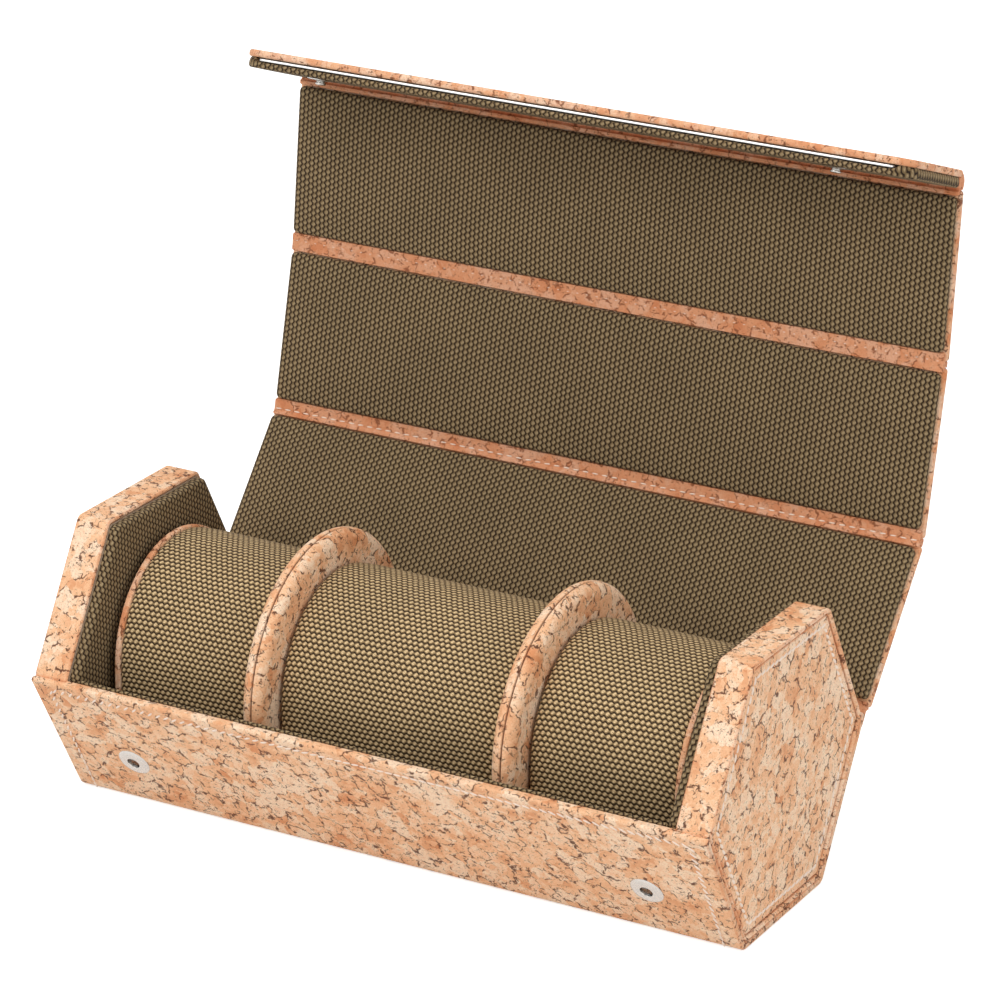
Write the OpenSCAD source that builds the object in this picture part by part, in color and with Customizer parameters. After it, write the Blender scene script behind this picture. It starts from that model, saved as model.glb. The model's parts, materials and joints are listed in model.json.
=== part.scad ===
// Hexagonal travel case for three watches: a cork tray, three lid panels, a snap flap and three lift-out pillows.
// X runs along the case, -Y is the front, +Z is up. The origin is the middle of the flat base on the table.
// The lid stands in the pose of the photograph; a panel's angle is counted from +Y towards +Z.

/* [Overall] */

// length over the two end caps
case_l = 250; // [220:1:300]
// distance across the flats of an end cap
cap_flat = 95; // [88:1:118]
// rounding of an end cap's corners
corner_r = 3; // [2:0.5:5]
// rounding of the tray skin's folds
fold_r = 4; // [2.5:0.5:6]

/* [Skin and layers] */

// cork skin of tray and lid
skin_t = 2.4; // [1.6:0.1:3]
// board inside the tray walls
tray_board_t = 1.2; // [0.8:0.1:1.6]
// fabric lining of the tray walls
tray_lining_t = 1.2; // [0.8:0.1:1.6]
// board inside a lid panel
lid_board_t = 1.4; // [1:0.1:2]
// padded fabric lining of a lid panel
lid_lining_t = 2.2; // [1.6:0.1:2.8]
// cork border left beside the lid linings
lining_border = 2.2; // [1.5:0.1:4]
// edge of a lid lining beyond its board
board_wrap = 0.8; // [0.5:0.1:1.5]
// corner rounding of the lid linings
lining_corner_r = 3; // [1:0.5:5]
// play between the closed lid and the end caps
lid_play = 0.3; // [0.2:0.05:0.6]

/* [Lid pose] */

// angle of the back lid panel
back_angle = 50; // [20:0.5:90]
// bend at the rear top hinge
rear_top_bend = 27.5; // [0:0.5:55]
// bend at the front top hinge
front_top_bend = 7; // [0:0.5:55]
// bend at the flap hinge
flap_bend = 76; // [0:0.5:88]

/* [Hinges] */

// half of the slit between two skins
skin_gap = 1; // [0.8:0.1:1.6]
// half of the strip left free between two linings
lining_gap = 2.8; // [2.6:0.1:5]
// thickness of a hinge strip
strip_t = 0.9; // [0.6:0.1:1.2]
// height of the rear hinge strip on the back wall
rear_strip_h = 8; // [5:0.5:14]

/* [End caps] */

// thickness of an end cap without its padding
cap_t = 12.5; // [9:0.5:18]
// cork band around an end cap
band_t = 1.6; // [1.2:0.1:2.2]
// depth of the face panel below the band's edge
face_inset = 0.8; // [0.4:0.1:1.5]
// thickness of the cork face panel
face_t = 1.2; // [0.8:0.1:2]
// play around the face panel
face_play = 0.4; // [0.3:0.05:0.8]
// thickness of the padding inside an end cap
pad_t = 4; // [2.5:0.5:6]

/* [Dividers] */

// distance of a divider from the middle of the case
divider_x = 46.2; // [36:0.2:54]
// thickness of a divider
divider_t = 9.5; // [7:0.5:12]
// room between a divider's round top and the closed lid's lining
divider_play = 0.6; // [0.4:0.1:4]
// thickness of a divider's board
divider_board_t = 5; // [3:0.5:6]
// cork over the rim of a divider's board
divider_rim = 5; // [3.5:0.5:8]

/* [Pillows] */

// half of a pillow's width
pillow_r = 36.8; // [30:0.2:38]
// height of a pillow
pillow_h = 81.8; // [68:0.2:84]
// length of an end pillow
end_pillow_l = 54; // [40:0.5:55]
// length of the middle pillow
middle_pillow_l = 82.4; // [60:0.2:82.4]
// cork disc on each end of a pillow
disc_t = 2; // [1.2:0.1:3]
// edge of the disc beyond the fabric
disc_proud = 0.5; // [0.3:0.1:1]
// padded fabric around a pillow's core
cover_t = 3; // [2:0.5:5]
// depth of the flat on which a pillow rests
pillow_flat = 1.5; // [0.8:0.1:3]
// play between a pillow and what it touches
pillow_play = 0.25; // [0.2:0.05:0.5]

/* [Flap and snaps] */

// length of the flap from its hinge
flap_l = 44; // [43:0.5:50]
// rounding of the flap's free corners
flap_corner_r = 9; // [4:0.5:14]
// thickness of the flap's lining
flap_lining_t = 2.2; // [1.6:0.1:2.8]
// thickness of the flap's board and bar
flap_board_t = 1.6; // [1.2:0.1:2]
// room between the closed flap and the front wall, filled by the snaps
flap_play = 1.2; // [1.1:0.05:1.4]
// width of the metal bar along the flap's edge
bar_w = 9; // [6:0.5:12]
// distance of the bar's ends from the case's ends
bar_end = 7; // [5:0.5:14]
// distance of the snaps from the case's ends
snap_end = 29; // [22:0.5:60]
// distance of the snaps from the flap's hinge
snap_drop = 36.5; // [30:0.5:38]
// outer diameter of a snap's ring
ring_d = 11.6; // [9:0.2:13]
// bore of a socket
socket_bore = 4.4; // [4:0.1:5.2]
// height of a snap ring over the face
ring_h = 0.8; // [0.6:0.05:0.8]
// diameter of a stud's ball
ball_d = 3.6; // [3:0.1:3.8]
// wire of a socket's spring
spring_d = 0.5; // [0.4:0.05:0.6]

/* [Hidden] */

root3 = sqrt(3);
// outer normals of the tray's walls
front_normal = 210;
floor_normal = 270;
back_normal = 330;
// play between the plates of two walls at a fold
fold_play = 0.3;
// step of the arcs at the hexagon's corners
round_step = 10;
// flats of the layers, counted from the hexagon's middle
cap_r = cap_flat / 2;
skin_r = cap_r + skin_t;
board_r = cap_r - tray_board_t;
lining_r = board_r - tray_lining_t;
zc = skin_r;
// radius of a divider's round top
divider_r = cap_r + lid_play - divider_play;
// half widths of the plates in a wall: the boards end where the skin's folds begin to round
board_half_w = (cap_r - corner_r) / root3;
lining_half_w = lining_r / root3 - fold_play;
hinge_r = cap_r + lid_play + lid_lining_t + lid_board_t;
// one side of the hinge hexagon, which is also the pitch of the lid panels
pitch = hinge_r * 2 / root3;
lid_layers = lid_board_t + lid_lining_t;
// panel directions in the photograph's pose
top_angle = back_angle + rear_top_bend;
front_angle = top_angle + front_top_bend;
flap_angle = front_angle + flap_bend;
// hinge lines as [y, z]
h1 = [pitch, zc];
h2 = h1 + pitch * [cos(back_angle), sin(back_angle)];
h3 = h2 + pitch * [cos(top_angle), sin(top_angle)];
h4 = h3 + pitch * [cos(front_angle), sin(front_angle)];
// layers of the flap, as heights over its hinge plane
flap_in = hinge_r - skin_r - flap_play;
flap_mid = flap_in - flap_lining_t;
flap_low = flap_mid - flap_board_t;
flap_out = flap_low - skin_t;
flap_start = 1.6;
// the tray between its end caps
inner_x = case_l / 2 - cap_t;
pad_x = inner_x - pad_t;
// cork edge turned over the top of the tray walls
edge_h = 2;
board_top_w = (board_r - 2 * edge_h) / root3;
snap_x = case_l / 2 - snap_end;
ring_bore_wall = 0.8;
rivet_d = 7.6;
rivet_t = 0.5;
// how far each spring wire reaches behind a stud's ball
spring_catch = 0.35;
// play between the springs and a stud's neck
spring_play = 0.2;
stud_base_t = 0.25;
knuckle_r = 0.7;
fn_round = 96;
fn_small = 48;

// sub-part to draw

cork = "burlywood";
dark_cork = "peru";
canvas = "olivedrab";
greyboard = "gray";
steel = "silver";
foam = "khaki";

// ---- shared shapes ----

// hexagon with a corner pointing along x, given by the distance of its flats, its corners rounded
module hexagon(r, round_r) {
    corner = (r - round_r) * 2 / root3;
    polygon([for (a = [0:60:300], t = [-30:round_step:30])
        corner * [cos(a), sin(a)] + round_r * [cos(a + t), sin(a + t)]]);
}

// flat profile in [y, z] drawn out along x from x0 to x1
module along_x(x0, x1) {
    translate([x0, 0, 0]) rotate([90, 0, 90]) linear_extrude(x1 - x0) children();
}

// flat hexagonal plate around the case's axis
module hex_plate(r, round_r, x0, x1) {
    along_x(x0, x1) translate([0, zc]) hexagon(r, round_r);
}

// lower half of the ring between two hexagons
module half_ring(outer_r, inner_r, outer_round, inner_round, half_l) {
    along_x(-half_l, half_l) intersection() {
        translate([0, zc]) difference() {
            hexagon(outer_r, outer_round);
            hexagon(inner_r, inner_round);
        }
        translate([-case_l, 0]) square([2 * case_l, zc]);
    }
}

// place a child on the tray wall whose outer normal points to the angle a, its x and y in the wall, z outward
module on_wall(a, r) {
    translate([0, 0, zc]) rotate([a, 0, 0]) translate([0, r, 0]) rotate([-90, 0, 0]) children();
}

// place a child in a lid panel: y along the panel from its hinge, z towards its lining
module in_panel(hinge, angle) {
    translate([0, hinge[0], hinge[1]]) rotate([angle, 0, 0]) children();
}

module slab(half_l, y0, y1, z0, z1) {
    translate([-half_l, y0, z0]) cube([2 * half_l, y1 - y0, z1 - z0]);
}

// slab with rounded corners at y1, and at y0 where both_ends is true
module round_slab(half_l, y0, y1, z0, z1, r, both_ends) {
    translate([0, 0, z0]) linear_extrude(z1 - z0) union() {
        for (s = [-1, 1]) {
            translate([s * (half_l - r), y1 - r]) circle(r = r, $fn = fn_small);
            if (both_ends) translate([s * (half_l - r), y0 + r]) circle(r = r, $fn = fn_small);
        }
        translate([r - half_l, y0]) square([2 * (half_l - r), y1 - y0]);
        translate([-half_l, both_ends ? y0 + r : y0]) square([2 * half_l, y1 - r - (both_ends ? y0 + r : y0)]);
    }
}

// ---- tray ----

// snap holes through the front wall, d wide
module socket_holes(d) {
    for (s = [-1, 1]) socket_place(s) cylinder(h = 8 * skin_t, d = d, center = true, $fn = fn_small);
}

module socket_place(s) {
    on_wall(front_normal, skin_r) translate([s * snap_x, pitch / 2 - snap_drop, 0]) children();
}

module tray_skin() {
    color(cork) difference() {
        union() {
            half_ring(skin_r, cap_r, fold_r, corner_r, case_l / 2);
            // cork edge turned inward over the boards
            difference() {
                half_ring(cap_r, board_r, corner_r, corner_r - tray_board_t, inner_x);
                translate([-case_l, -case_l, -edge_h]) cube([2 * case_l, 2 * case_l, zc]);
            }
        }
        socket_holes(socket_bore + 2 * ring_bore_wall);
    }
}

// plate in the wall whose outer normal points to the angle a, half_w to its fold and top_w to the wall's top edge
module wall_plate(a, outer_r, inner_r, half_w, top_w, half_l) {
    // y points up the front wall and down the back wall
    low = a > floor_normal ? -top_w : -half_w;
    high = a < floor_normal ? top_w : half_w;
    on_wall(a, inner_r) slab(half_l, low, high, 0, outer_r - inner_r);
}

module front_board() {
    color(greyboard) difference() {
        wall_plate(front_normal, cap_r, board_r, board_half_w, board_top_w, inner_x);
        socket_holes(socket_bore + 2 * ring_bore_wall);
    }
}

module floor_board() {
    color(greyboard) wall_plate(floor_normal, cap_r, board_r, board_half_w, board_half_w, inner_x);
}

module back_board() {
    color(greyboard) wall_plate(back_normal, cap_r, board_r, board_half_w, board_top_w, inner_x);
}

module front_lining() {
    color(canvas) difference() {
        wall_plate(front_normal, board_r, lining_r, lining_half_w, lining_half_w, pad_x);
        // room for the sockets' clinched backs
        for (s = [-1, 1]) socket_place(s) translate([0, 0, -skin_t - tray_board_t - rivet_t])
            cylinder(h = 2 * rivet_t, d = rivet_d, $fn = fn_small);
    }
}

module floor_lining() {
    color(canvas) wall_plate(floor_normal, board_r, lining_r, lining_half_w, lining_half_w, pad_x);
}

module back_lining() {
    color(canvas) wall_plate(back_normal, board_r, lining_r, lining_half_w, lining_half_w, pad_x);
}

// ring with a tube through skin and board, clinched behind the board
module snap_sockets() {
    color(steel) for (s = [-1, 1]) socket_place(s) rotate_extrude($fn = fn_round) {
        difference() {
            translate([socket_bore / 2, 0]) square([(ring_d - socket_bore) / 2, ring_h]);
            // the ring falls away towards its rim
            polygon([[ring_d / 2, ring_h / 2], [ring_d / 2 - ring_h, ring_h], [ring_d, ring_h]]);
        }
        translate([socket_bore / 2, -skin_t - tray_board_t - rivet_t])
            square([ring_bore_wall, skin_t + tray_board_t + rivet_t]);
        translate([socket_bore / 2, -skin_t - tray_board_t - rivet_t])
            square([(rivet_d - socket_bore) / 2, rivet_t]);
    }
}

// two short spring wires across the mouth of each socket, apart by less than a stud's ball
module socket_springs() {
    wire_off = (ball_d + spring_d) / 2 - spring_catch;
    wire_l = 2 * sqrt(pow(socket_bore / 2, 2) - pow(wire_off + spring_d / 2, 2));
    color(steel) for (s = [-1, 1], side = [-1, 1]) socket_place(s)
        translate([0, side * wire_off, ring_h - spring_d]) rotate([0, 90, 0])
            cylinder(h = wire_l, d = spring_d, center = true, $fn = fn_small);
}

// ---- end caps, drawn for +x and mirrored for the left end ----

module cap_core() {
    color(greyboard) hex_plate(cap_r - band_t, corner_r - band_t, inner_x, case_l / 2 - face_inset - face_t);
}

module cap_band() {
    color(cork) along_x(inner_x, case_l / 2) translate([0, zc]) difference() {
        hexagon(cap_r, corner_r);
        hexagon(cap_r - band_t, corner_r - band_t);
    }
}

module cap_face() {
    color(cork) hex_plate(cap_r - band_t - face_play, corner_r - band_t,
        case_l / 2 - face_inset - face_t, case_l / 2 - face_inset);
}

module cap_pad() {
    color(canvas) hex_plate(board_r - face_play, corner_r, pad_x, inner_x);
}

module left_cap_core() {
    mirror([1, 0, 0]) cap_core();
}

module left_cap_band() {
    mirror([1, 0, 0]) cap_band();
}

module left_cap_face() {
    mirror([1, 0, 0]) cap_face();
}

module left_cap_pad() {
    mirror([1, 0, 0]) cap_pad();
}

module right_cap_core() {
    cap_core();
}

module right_cap_band() {
    cap_band();
}

module right_cap_face() {
    cap_face();
}

module right_cap_pad() {
    cap_pad();
}

// ---- dividers: a board in a cork cover with a round rim, cut to the tray's linings below ----

module divider_board() {
    rotate([0, 90, 0]) cylinder(h = divider_board_t, r = lining_r - divider_rim, center = true, $fn = fn_round);
}

module divider_cover() {
    rim = divider_r - divider_t / 2;
    difference() {
        intersection() {
            rotate([0, 90, 0]) union() {
                rotate_extrude($fn = fn_round) translate([rim, 0]) circle(d = divider_t, $fn = fn_small);
                cylinder(h = divider_t, r = rim, center = true, $fn = fn_round);
            }
            union() {
                translate([-divider_t, -divider_r, 0]) cube([2 * divider_t, 2 * divider_r, divider_r]);
                translate([0, 0, -zc]) hex_plate(lining_r, corner_r, -divider_t, divider_t);
            }
        }
        divider_board();
    }
}

module left_divider_board() {
    color(greyboard) translate([-divider_x, 0, zc]) divider_board();
}

module left_divider_cover() {
    color(cork) translate([-divider_x, 0, zc]) divider_cover();
}

module right_divider_board() {
    color(greyboard) translate([divider_x, 0, zc]) divider_board();
}

module right_divider_cover() {
    color(cork) translate([divider_x, 0, zc]) divider_cover();
}

// ---- hinge strips, which bend ----

function toward(a) = [cos(a), sin(a)];

// strip on the inner faces of a panel that ends at the hinge and of one that starts there, bent between them
module inner_strip(hinge, angle, bend) {
    leg = lining_gap - lid_play;
    color(dark_cork) along_x(-case_l / 2, case_l / 2) translate(hinge) union() {
        polygon([[0, 0], leg * toward(angle + bend), leg * toward(angle + bend) + strip_t * toward(angle + bend + 90),
            strip_t / cos(bend / 2) * toward(angle + bend / 2 + 90),
            strip_t * toward(angle + 90) - leg * toward(angle), -leg * toward(angle)]);
        circle(r = knuckle_r, $fn = fn_small);
    }
}

module back_hinge_strip() {
    wall_angle = 60;
    color(dark_cork) union() {
        in_panel(h1, wall_angle) slab(case_l / 2, -rear_strip_h, 0, 0, hinge_r - skin_r);
        in_panel(h1, back_angle) slab(case_l / 2, 0, skin_gap, -strip_t, 0);
        in_panel(h1, back_angle) rotate([0, 90, 0]) cylinder(h = case_l, r = knuckle_r, center = true, $fn = fn_small);
    }
}

module rear_top_strip() {
    inner_strip(h2, back_angle, rear_top_bend);
}

module front_top_strip() {
    inner_strip(h3, top_angle, front_top_bend);
}

module flap_strip() {
    color(dark_cork) union() {
        in_panel(h4, front_angle) slab(case_l / 2, -lining_gap + lid_play, 0, 0, strip_t);
        in_panel(h4, flap_angle) slab(case_l / 2, 0, skin_gap, flap_out, flap_low);
        in_panel(h4, flap_angle) slab(case_l / 2 - lining_border, 0, flap_start, flap_low, flap_in);
        in_panel(h4, front_angle) rotate([0, 90, 0]) cylinder(h = case_l, r = knuckle_r, center = true, $fn = fn_small);
    }
}

// ---- lid panels ----

module panel_skin() {
    slab(case_l / 2, skin_gap, pitch - skin_gap, -skin_t, 0);
}

module panel_board() {
    // the lining's fabric wraps over the board's edges
    start = lining_gap + board_wrap;
    round_slab(case_l / 2 - lining_border - board_wrap, start, pitch - start, 0, lid_board_t,
        lining_corner_r, true);
}

module panel_lining() {
    round_slab(case_l / 2 - lining_border, lining_gap, pitch - lining_gap, lid_board_t, lid_layers,
        lining_corner_r, true);
}

module back_panel_skin() {
    color(cork) in_panel(h1, back_angle) panel_skin();
}

module back_panel_board() {
    color(greyboard) in_panel(h1, back_angle) panel_board();
}

module back_panel_lining() {
    color(canvas) in_panel(h1, back_angle) panel_lining();
}

module top_panel_skin() {
    color(cork) in_panel(h2, top_angle) panel_skin();
}

module top_panel_board() {
    color(greyboard) in_panel(h2, top_angle) panel_board();
}

module top_panel_lining() {
    color(canvas) in_panel(h2, top_angle) panel_lining();
}

module front_panel_skin() {
    color(cork) in_panel(h3, front_angle) panel_skin();
}

module front_panel_board() {
    color(greyboard) in_panel(h3, front_angle) panel_board();
}

module front_panel_lining() {
    color(canvas) in_panel(h3, front_angle) panel_lining();
}

// ---- flap with its bar and studs ----

module stud_place(s) {
    in_panel(h4, flap_angle) translate([s * snap_x, snap_drop, flap_in]) children();
}

module flap_skin() {
    color(cork) in_panel(h4, flap_angle)
        round_slab(case_l / 2, skin_gap, flap_l, flap_out, flap_low, flap_corner_r, false);
}

module flap_board() {
    color(greyboard) difference() {
        in_panel(h4, flap_angle) slab(case_l / 2 - lining_border, flap_start, flap_l - bar_w - face_play,
            flap_low, flap_mid);
        for (s = [-1, 1]) stud_place(s)
            translate([0, 0, -2 * lid_layers]) cylinder(h = 2 * lid_layers, d = rivet_d + face_play, $fn = fn_small);
    }
}

module flap_lining() {
    color(canvas) difference() {
        in_panel(h4, flap_angle)
            round_slab(case_l / 2 - face_play, flap_start, flap_l - face_play, flap_mid, flap_in,
                flap_corner_r - face_play, false);
        for (s = [-1, 1]) stud_place(s)
            cylinder(h = 3 * flap_lining_t, d = ball_d, center = true, $fn = fn_small);
    }
}

module flap_bar() {
    color(steel) difference() {
        in_panel(h4, flap_angle)
            slab(case_l / 2 - bar_end, flap_l - bar_w, flap_l - face_play, flap_low, flap_mid);
        for (s = [-1, 1]) stud_place(s)
            translate([0, 0, -2 * lid_layers]) cylinder(h = 2 * lid_layers, d = rivet_d + face_play, $fn = fn_small);
    }
}

// thin base on the lining, a shank through it and a ball that enters the socket
module snap_studs() {
    neck_h = 1.1;
    neck_d = ball_d - 2 * spring_catch - spring_play;
    color(steel) for (s = [-1, 1]) stud_place(s) union() {
        cylinder(h = stud_base_t, d = ring_d - 2, $fn = fn_round);
        translate([0, 0, -flap_lining_t]) cylinder(h = flap_lining_t, d = ball_d, $fn = fn_small);
        cylinder(h = neck_h + ball_d / 4, d = neck_d, $fn = fn_small);
        translate([0, 0, neck_h]) cylinder(h = ball_d / 4, d = ball_d, $fn = fn_small);
    }
}

module stud_rivets() {
    color(steel) for (s = [-1, 1]) stud_place(s)
        translate([0, 0, -flap_lining_t - rivet_t]) cylinder(h = rivet_t, d = rivet_d, $fn = fn_small);
}

// ---- pillows: an upright oval of foam in padded fabric, closed by cork discs ----

// oval with flat sides, its foot at the pillow's lowest point, grown outward by grow
module oval(grow) {
    r = pillow_r + grow;
    foot = lining_r * -1 + zc + pillow_play;
    low = foot + pillow_r - pillow_flat;
    high = foot + pillow_h - pillow_r;
    intersection() {
        union() {
            translate([0, low]) circle(r = r, $fn = fn_round);
            translate([0, high]) circle(r = r, $fn = fn_round);
            translate([-r, low]) square([2 * r, high - low]);
        }
        translate([-2 * pillow_r, foot]) square([4 * pillow_r, 2 * pillow_h]);
    }
}

module pillow_core(x0, x1) {
    color(foam) along_x(x0 + disc_t, x1 - disc_t) intersection() {
        oval(-cover_t);
        translate([0, cover_t]) oval(0);
    }
}

module pillow_cover(x0, x1) {
    color(canvas) difference() {
        along_x(x0 + disc_t, x1 - disc_t) oval(-disc_proud);
        pillow_core(x0 - case_l, x1 + case_l);
    }
}

module pillow_discs(x0, x1) {
    color(cork) {
        along_x(x0, x0 + disc_t) oval(0);
        along_x(x1 - disc_t, x1) oval(0);
    }
}

end_x = divider_x + divider_t / 2 + pillow_play;
mid_x = middle_pillow_l / 2;

module left_pillow_core() {
    pillow_core(-end_x - end_pillow_l, -end_x);
}

module left_pillow_cover() {
    pillow_cover(-end_x - end_pillow_l, -end_x);
}

module left_pillow_discs() {
    pillow_discs(-end_x - end_pillow_l, -end_x);
}

module middle_pillow_core() {
    pillow_core(-mid_x, mid_x);
}

module middle_pillow_cover() {
    pillow_cover(-mid_x, mid_x);
}

module middle_pillow_discs() {
    pillow_discs(-mid_x, mid_x);
}

module right_pillow_core() {
    pillow_core(end_x, end_x + end_pillow_l);
}

module right_pillow_cover() {
    pillow_cover(end_x, end_x + end_pillow_l);
}

module right_pillow_discs() {
    pillow_discs(end_x, end_x + end_pillow_l);
}

tray_skin();
front_board();
floor_board();
back_board();
front_lining();
floor_lining();
back_lining();
left_cap_core();
left_cap_band();
left_cap_face();
left_cap_pad();
right_cap_core();
right_cap_band();
right_cap_face();
right_cap_pad();
left_divider_board();
left_divider_cover();
right_divider_board();
right_divider_cover();
snap_sockets();
socket_springs();
back_hinge_strip();
back_panel_skin();
back_panel_board();
back_panel_lining();
rear_top_strip();
top_panel_skin();
top_panel_board();
top_panel_lining();
front_top_strip();
front_panel_skin();
front_panel_board();
front_panel_lining();
flap_strip();
flap_skin();
flap_board();
flap_lining();
flap_bar();
snap_studs();
stud_rivets();
left_pillow_core();
left_pillow_cover();
left_pillow_discs();
middle_pillow_core();
middle_pillow_cover();
middle_pillow_discs();
right_pillow_core();
right_pillow_cover();
right_pillow_discs();
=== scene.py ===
"""Hexagonal watch travel case: cork skin, canvas lining, folding lid, snap flap and lift-out pillows."""
import json
import math

import bpy
from mathutils import Matrix, Vector


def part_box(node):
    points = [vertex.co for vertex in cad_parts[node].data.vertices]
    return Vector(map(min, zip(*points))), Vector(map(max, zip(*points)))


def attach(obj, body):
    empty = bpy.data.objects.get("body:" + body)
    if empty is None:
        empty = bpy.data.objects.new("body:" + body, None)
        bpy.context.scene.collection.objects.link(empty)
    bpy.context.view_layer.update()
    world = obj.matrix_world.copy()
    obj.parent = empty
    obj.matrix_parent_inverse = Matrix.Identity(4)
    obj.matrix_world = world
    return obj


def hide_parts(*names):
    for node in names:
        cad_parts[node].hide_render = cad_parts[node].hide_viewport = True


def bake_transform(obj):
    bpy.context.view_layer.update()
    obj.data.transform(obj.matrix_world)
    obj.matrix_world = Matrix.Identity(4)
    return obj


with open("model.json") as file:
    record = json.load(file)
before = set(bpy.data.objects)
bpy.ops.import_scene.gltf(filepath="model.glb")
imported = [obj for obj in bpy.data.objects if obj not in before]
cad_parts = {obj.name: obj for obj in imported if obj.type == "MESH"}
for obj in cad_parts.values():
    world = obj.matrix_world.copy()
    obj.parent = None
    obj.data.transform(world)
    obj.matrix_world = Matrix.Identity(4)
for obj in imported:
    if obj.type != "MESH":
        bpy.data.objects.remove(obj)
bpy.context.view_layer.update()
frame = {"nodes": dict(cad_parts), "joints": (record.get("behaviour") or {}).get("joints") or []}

bl_info = {
    "name": "Watch travel case",
    "version": (1, 0, 0),
    "blender": (4, 5, 0),
    "location": "3D View > Sidebar > Watch case",
    "description": "Builds the cork and canvas surfaces of a watch travel case around its packed frame",
    "category": "Object",
}

MM = 0.001
ROOT3 = math.sqrt(3)

# ---- the case, measured on the frame ----

CASE_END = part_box("tray_skin")[1].x
CAP_LOW, CAP_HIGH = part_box("right_cap_band")
CAP_R = (CAP_HIGH.z - CAP_LOW.z) / 2
CENTRE_Z = (CAP_HIGH.z + CAP_LOW.z) / 2
SKIN_R = CENTRE_Z
BOARD_R = CENTRE_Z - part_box("floor_board")[1].z
LINING_R = CENTRE_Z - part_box("floor_lining")[1].z
INNER_X = CAP_LOW.x
PAD_LOW, PAD_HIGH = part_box("right_cap_pad")
PAD_R = (PAD_HIGH.z - PAD_LOW.z) / 2
FACE_LOW, FACE_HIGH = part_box("right_cap_face")
FACE_R = (FACE_HIGH.z - FACE_LOW.z) / 2
SKIN_T = SKIN_R - CAP_R
JOINTS = {joint["name"]: joint for joint in frame["joints"]}
FOLDS = [Vector(JOINTS[name]["pos_m"])
         for name in ("back_hinge", "rear_top_hinge", "front_top_hinge", "flap_hinge")]


def direction_between(low, high):
    """Angle of the line from low to high, counted from +Y towards +Z."""
    return math.atan2(high.z - low.z, high.y - low.y)


def spot(point, angle):
    """Place of a wall or panel: x along the case, y along the panel, z towards its lining."""
    return Matrix.Translation(point) @ Matrix.Rotation(angle, 4, "X")


def wall_spot(angle, radius):
    """Place in the middle of a tray wall whose y direction has this angle."""
    outward = angle - math.pi / 2
    return spot(Vector((0, radius * math.cos(outward), CENTRE_Z + radius * math.sin(outward))), angle)


BACK_ANGLE = direction_between(FOLDS[0], FOLDS[1])
TOP_ANGLE = direction_between(FOLDS[1], FOLDS[2])
FRONT_ANGLE = direction_between(FOLDS[2], FOLDS[3])
FLAP_ANGLE = FRONT_ANGLE - math.radians(JOINTS["flap_hinge"]["range_deg"][0])
FRONT_WALL = math.radians(-60)
FLOOR_WALL = 0.0
BACK_WALL = math.radians(60)
PANEL_SPOTS = {
    "back_panel": spot(FOLDS[0], BACK_ANGLE),
    "top_panel": spot(FOLDS[1], TOP_ANGLE),
    "front_panel": spot(FOLDS[2], FRONT_ANGLE),
    "flap": spot(FOLDS[3], FLAP_ANGLE),
}


def node_span(node, place):
    """Lowest and highest corner of a frame node, in the place's own directions."""
    back = place.inverted()
    points = [back @ vertex.co for vertex in frame["nodes"][node].data.vertices]
    low = Vector([min(p[axis] for p in points) for axis in range(3)])
    high = Vector([max(p[axis] for p in points) for axis in range(3)])
    return low, high


def colour_property(name, description, rgb):
    """Colour property whose default is given as screen values from 0 to 255."""
    linear = [((c / 255 + 0.055) / 1.055) ** 2.4 if c > 10 else c / 255 / 12.92 for c in rgb]
    return bpy.props.FloatVectorProperty(
        name=name, description=description, subtype="COLOR", size=3, min=0, max=1, default=linear)


def number_property(name, description, default, **options):
    """Number property with its unit or subtype."""
    return bpy.props.FloatProperty(name=name, description=description, default=default, **options)


def length_property(name, description, default):
    """Length property in metres."""
    return number_property(name, description, default, unit="LENGTH", min=0.0, max=0.1, precision=5)


# ---- sizes and colours that a user would change ----

class CaseCork(bpy.types.PropertyGroup):
    """Cork skin: its colours and the rounding of its edges."""
    pale: colour_property("Pale", "Palest grains", (255, 227, 196))
    body: colour_property("Body", "Most of the cork", (248, 198, 154))
    warm: colour_property("Warm", "Warmer grains", (222, 148, 99))
    # The fold colour darkens rubbed edges, and the fold strips all over, where it is partly painted shade.
    fold: colour_property("Fold", "Cork where it is folded over", (205, 122, 74))
    crack: colour_property("Crack", "Thin lines and flecks", (84, 40, 18))
    grain: length_property("Grain", "Size of a cork grain", 4.2 * MM)
    edge: length_property("Edge", "Rounding of the cork's edges", 0.9 * MM)


class CaseCanvas(bpy.types.PropertyGroup):
    """Canvas lining: its colours, with painted highlight and painted shade, and its weave."""
    # Thread is the lit colour of the painted highlight on each crown.
    thread: colour_property("Thread", "Crown of a thread", (166, 144, 109))
    # Shade and Gap are painted shade, where a thread dips and between the threads.
    shade: colour_property("Shade", "Thread where it dips", (122, 100, 68))
    gap: colour_property("Gap", "Between the threads", (34, 20, 7))
    warp: length_property("Warp", "Distance between warp threads, along the case", 1.71 * MM)
    weft: length_property("Weft", "Distance between weft threads, across the case", 1.03 * MM)
    edge: length_property("Edge", "Rounding of a padded lining", 1.5 * MM)
    crown: length_property("Crown", "How far a padded lining swells", 0.5 * MM)


class CaseStitching(bpy.types.PropertyGroup):
    """Stitching: thread and spacing."""
    colour: colour_property("Thread", "Colour of the sewing thread", (255, 229, 212))
    pitch: length_property("Pitch", "Distance from stitch to stitch", 3.1 * MM)
    length: length_property("Length", "Length of a stitch", 2.95 * MM)
    width: length_property("Width", "Width of the thread", 0.78 * MM)
    inset: length_property("Inset", "Distance of the stitching from the tray's top edge", 4.6 * MM)
    end: length_property("End", "Distance of the stitching from the tray's ends", 6.6 * MM)
    face: length_property("Face", "Distance of the stitching from the edge of an end face", 3.2 * MM)


class CaseMetal(bpy.types.PropertyGroup):
    """Snaps and bar."""
    steel: colour_property("Steel", "Satin steel of the snaps", (192, 189, 184))
    bar: colour_property("Bar", "Steel strip in the flap", (214, 213, 210))


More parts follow.
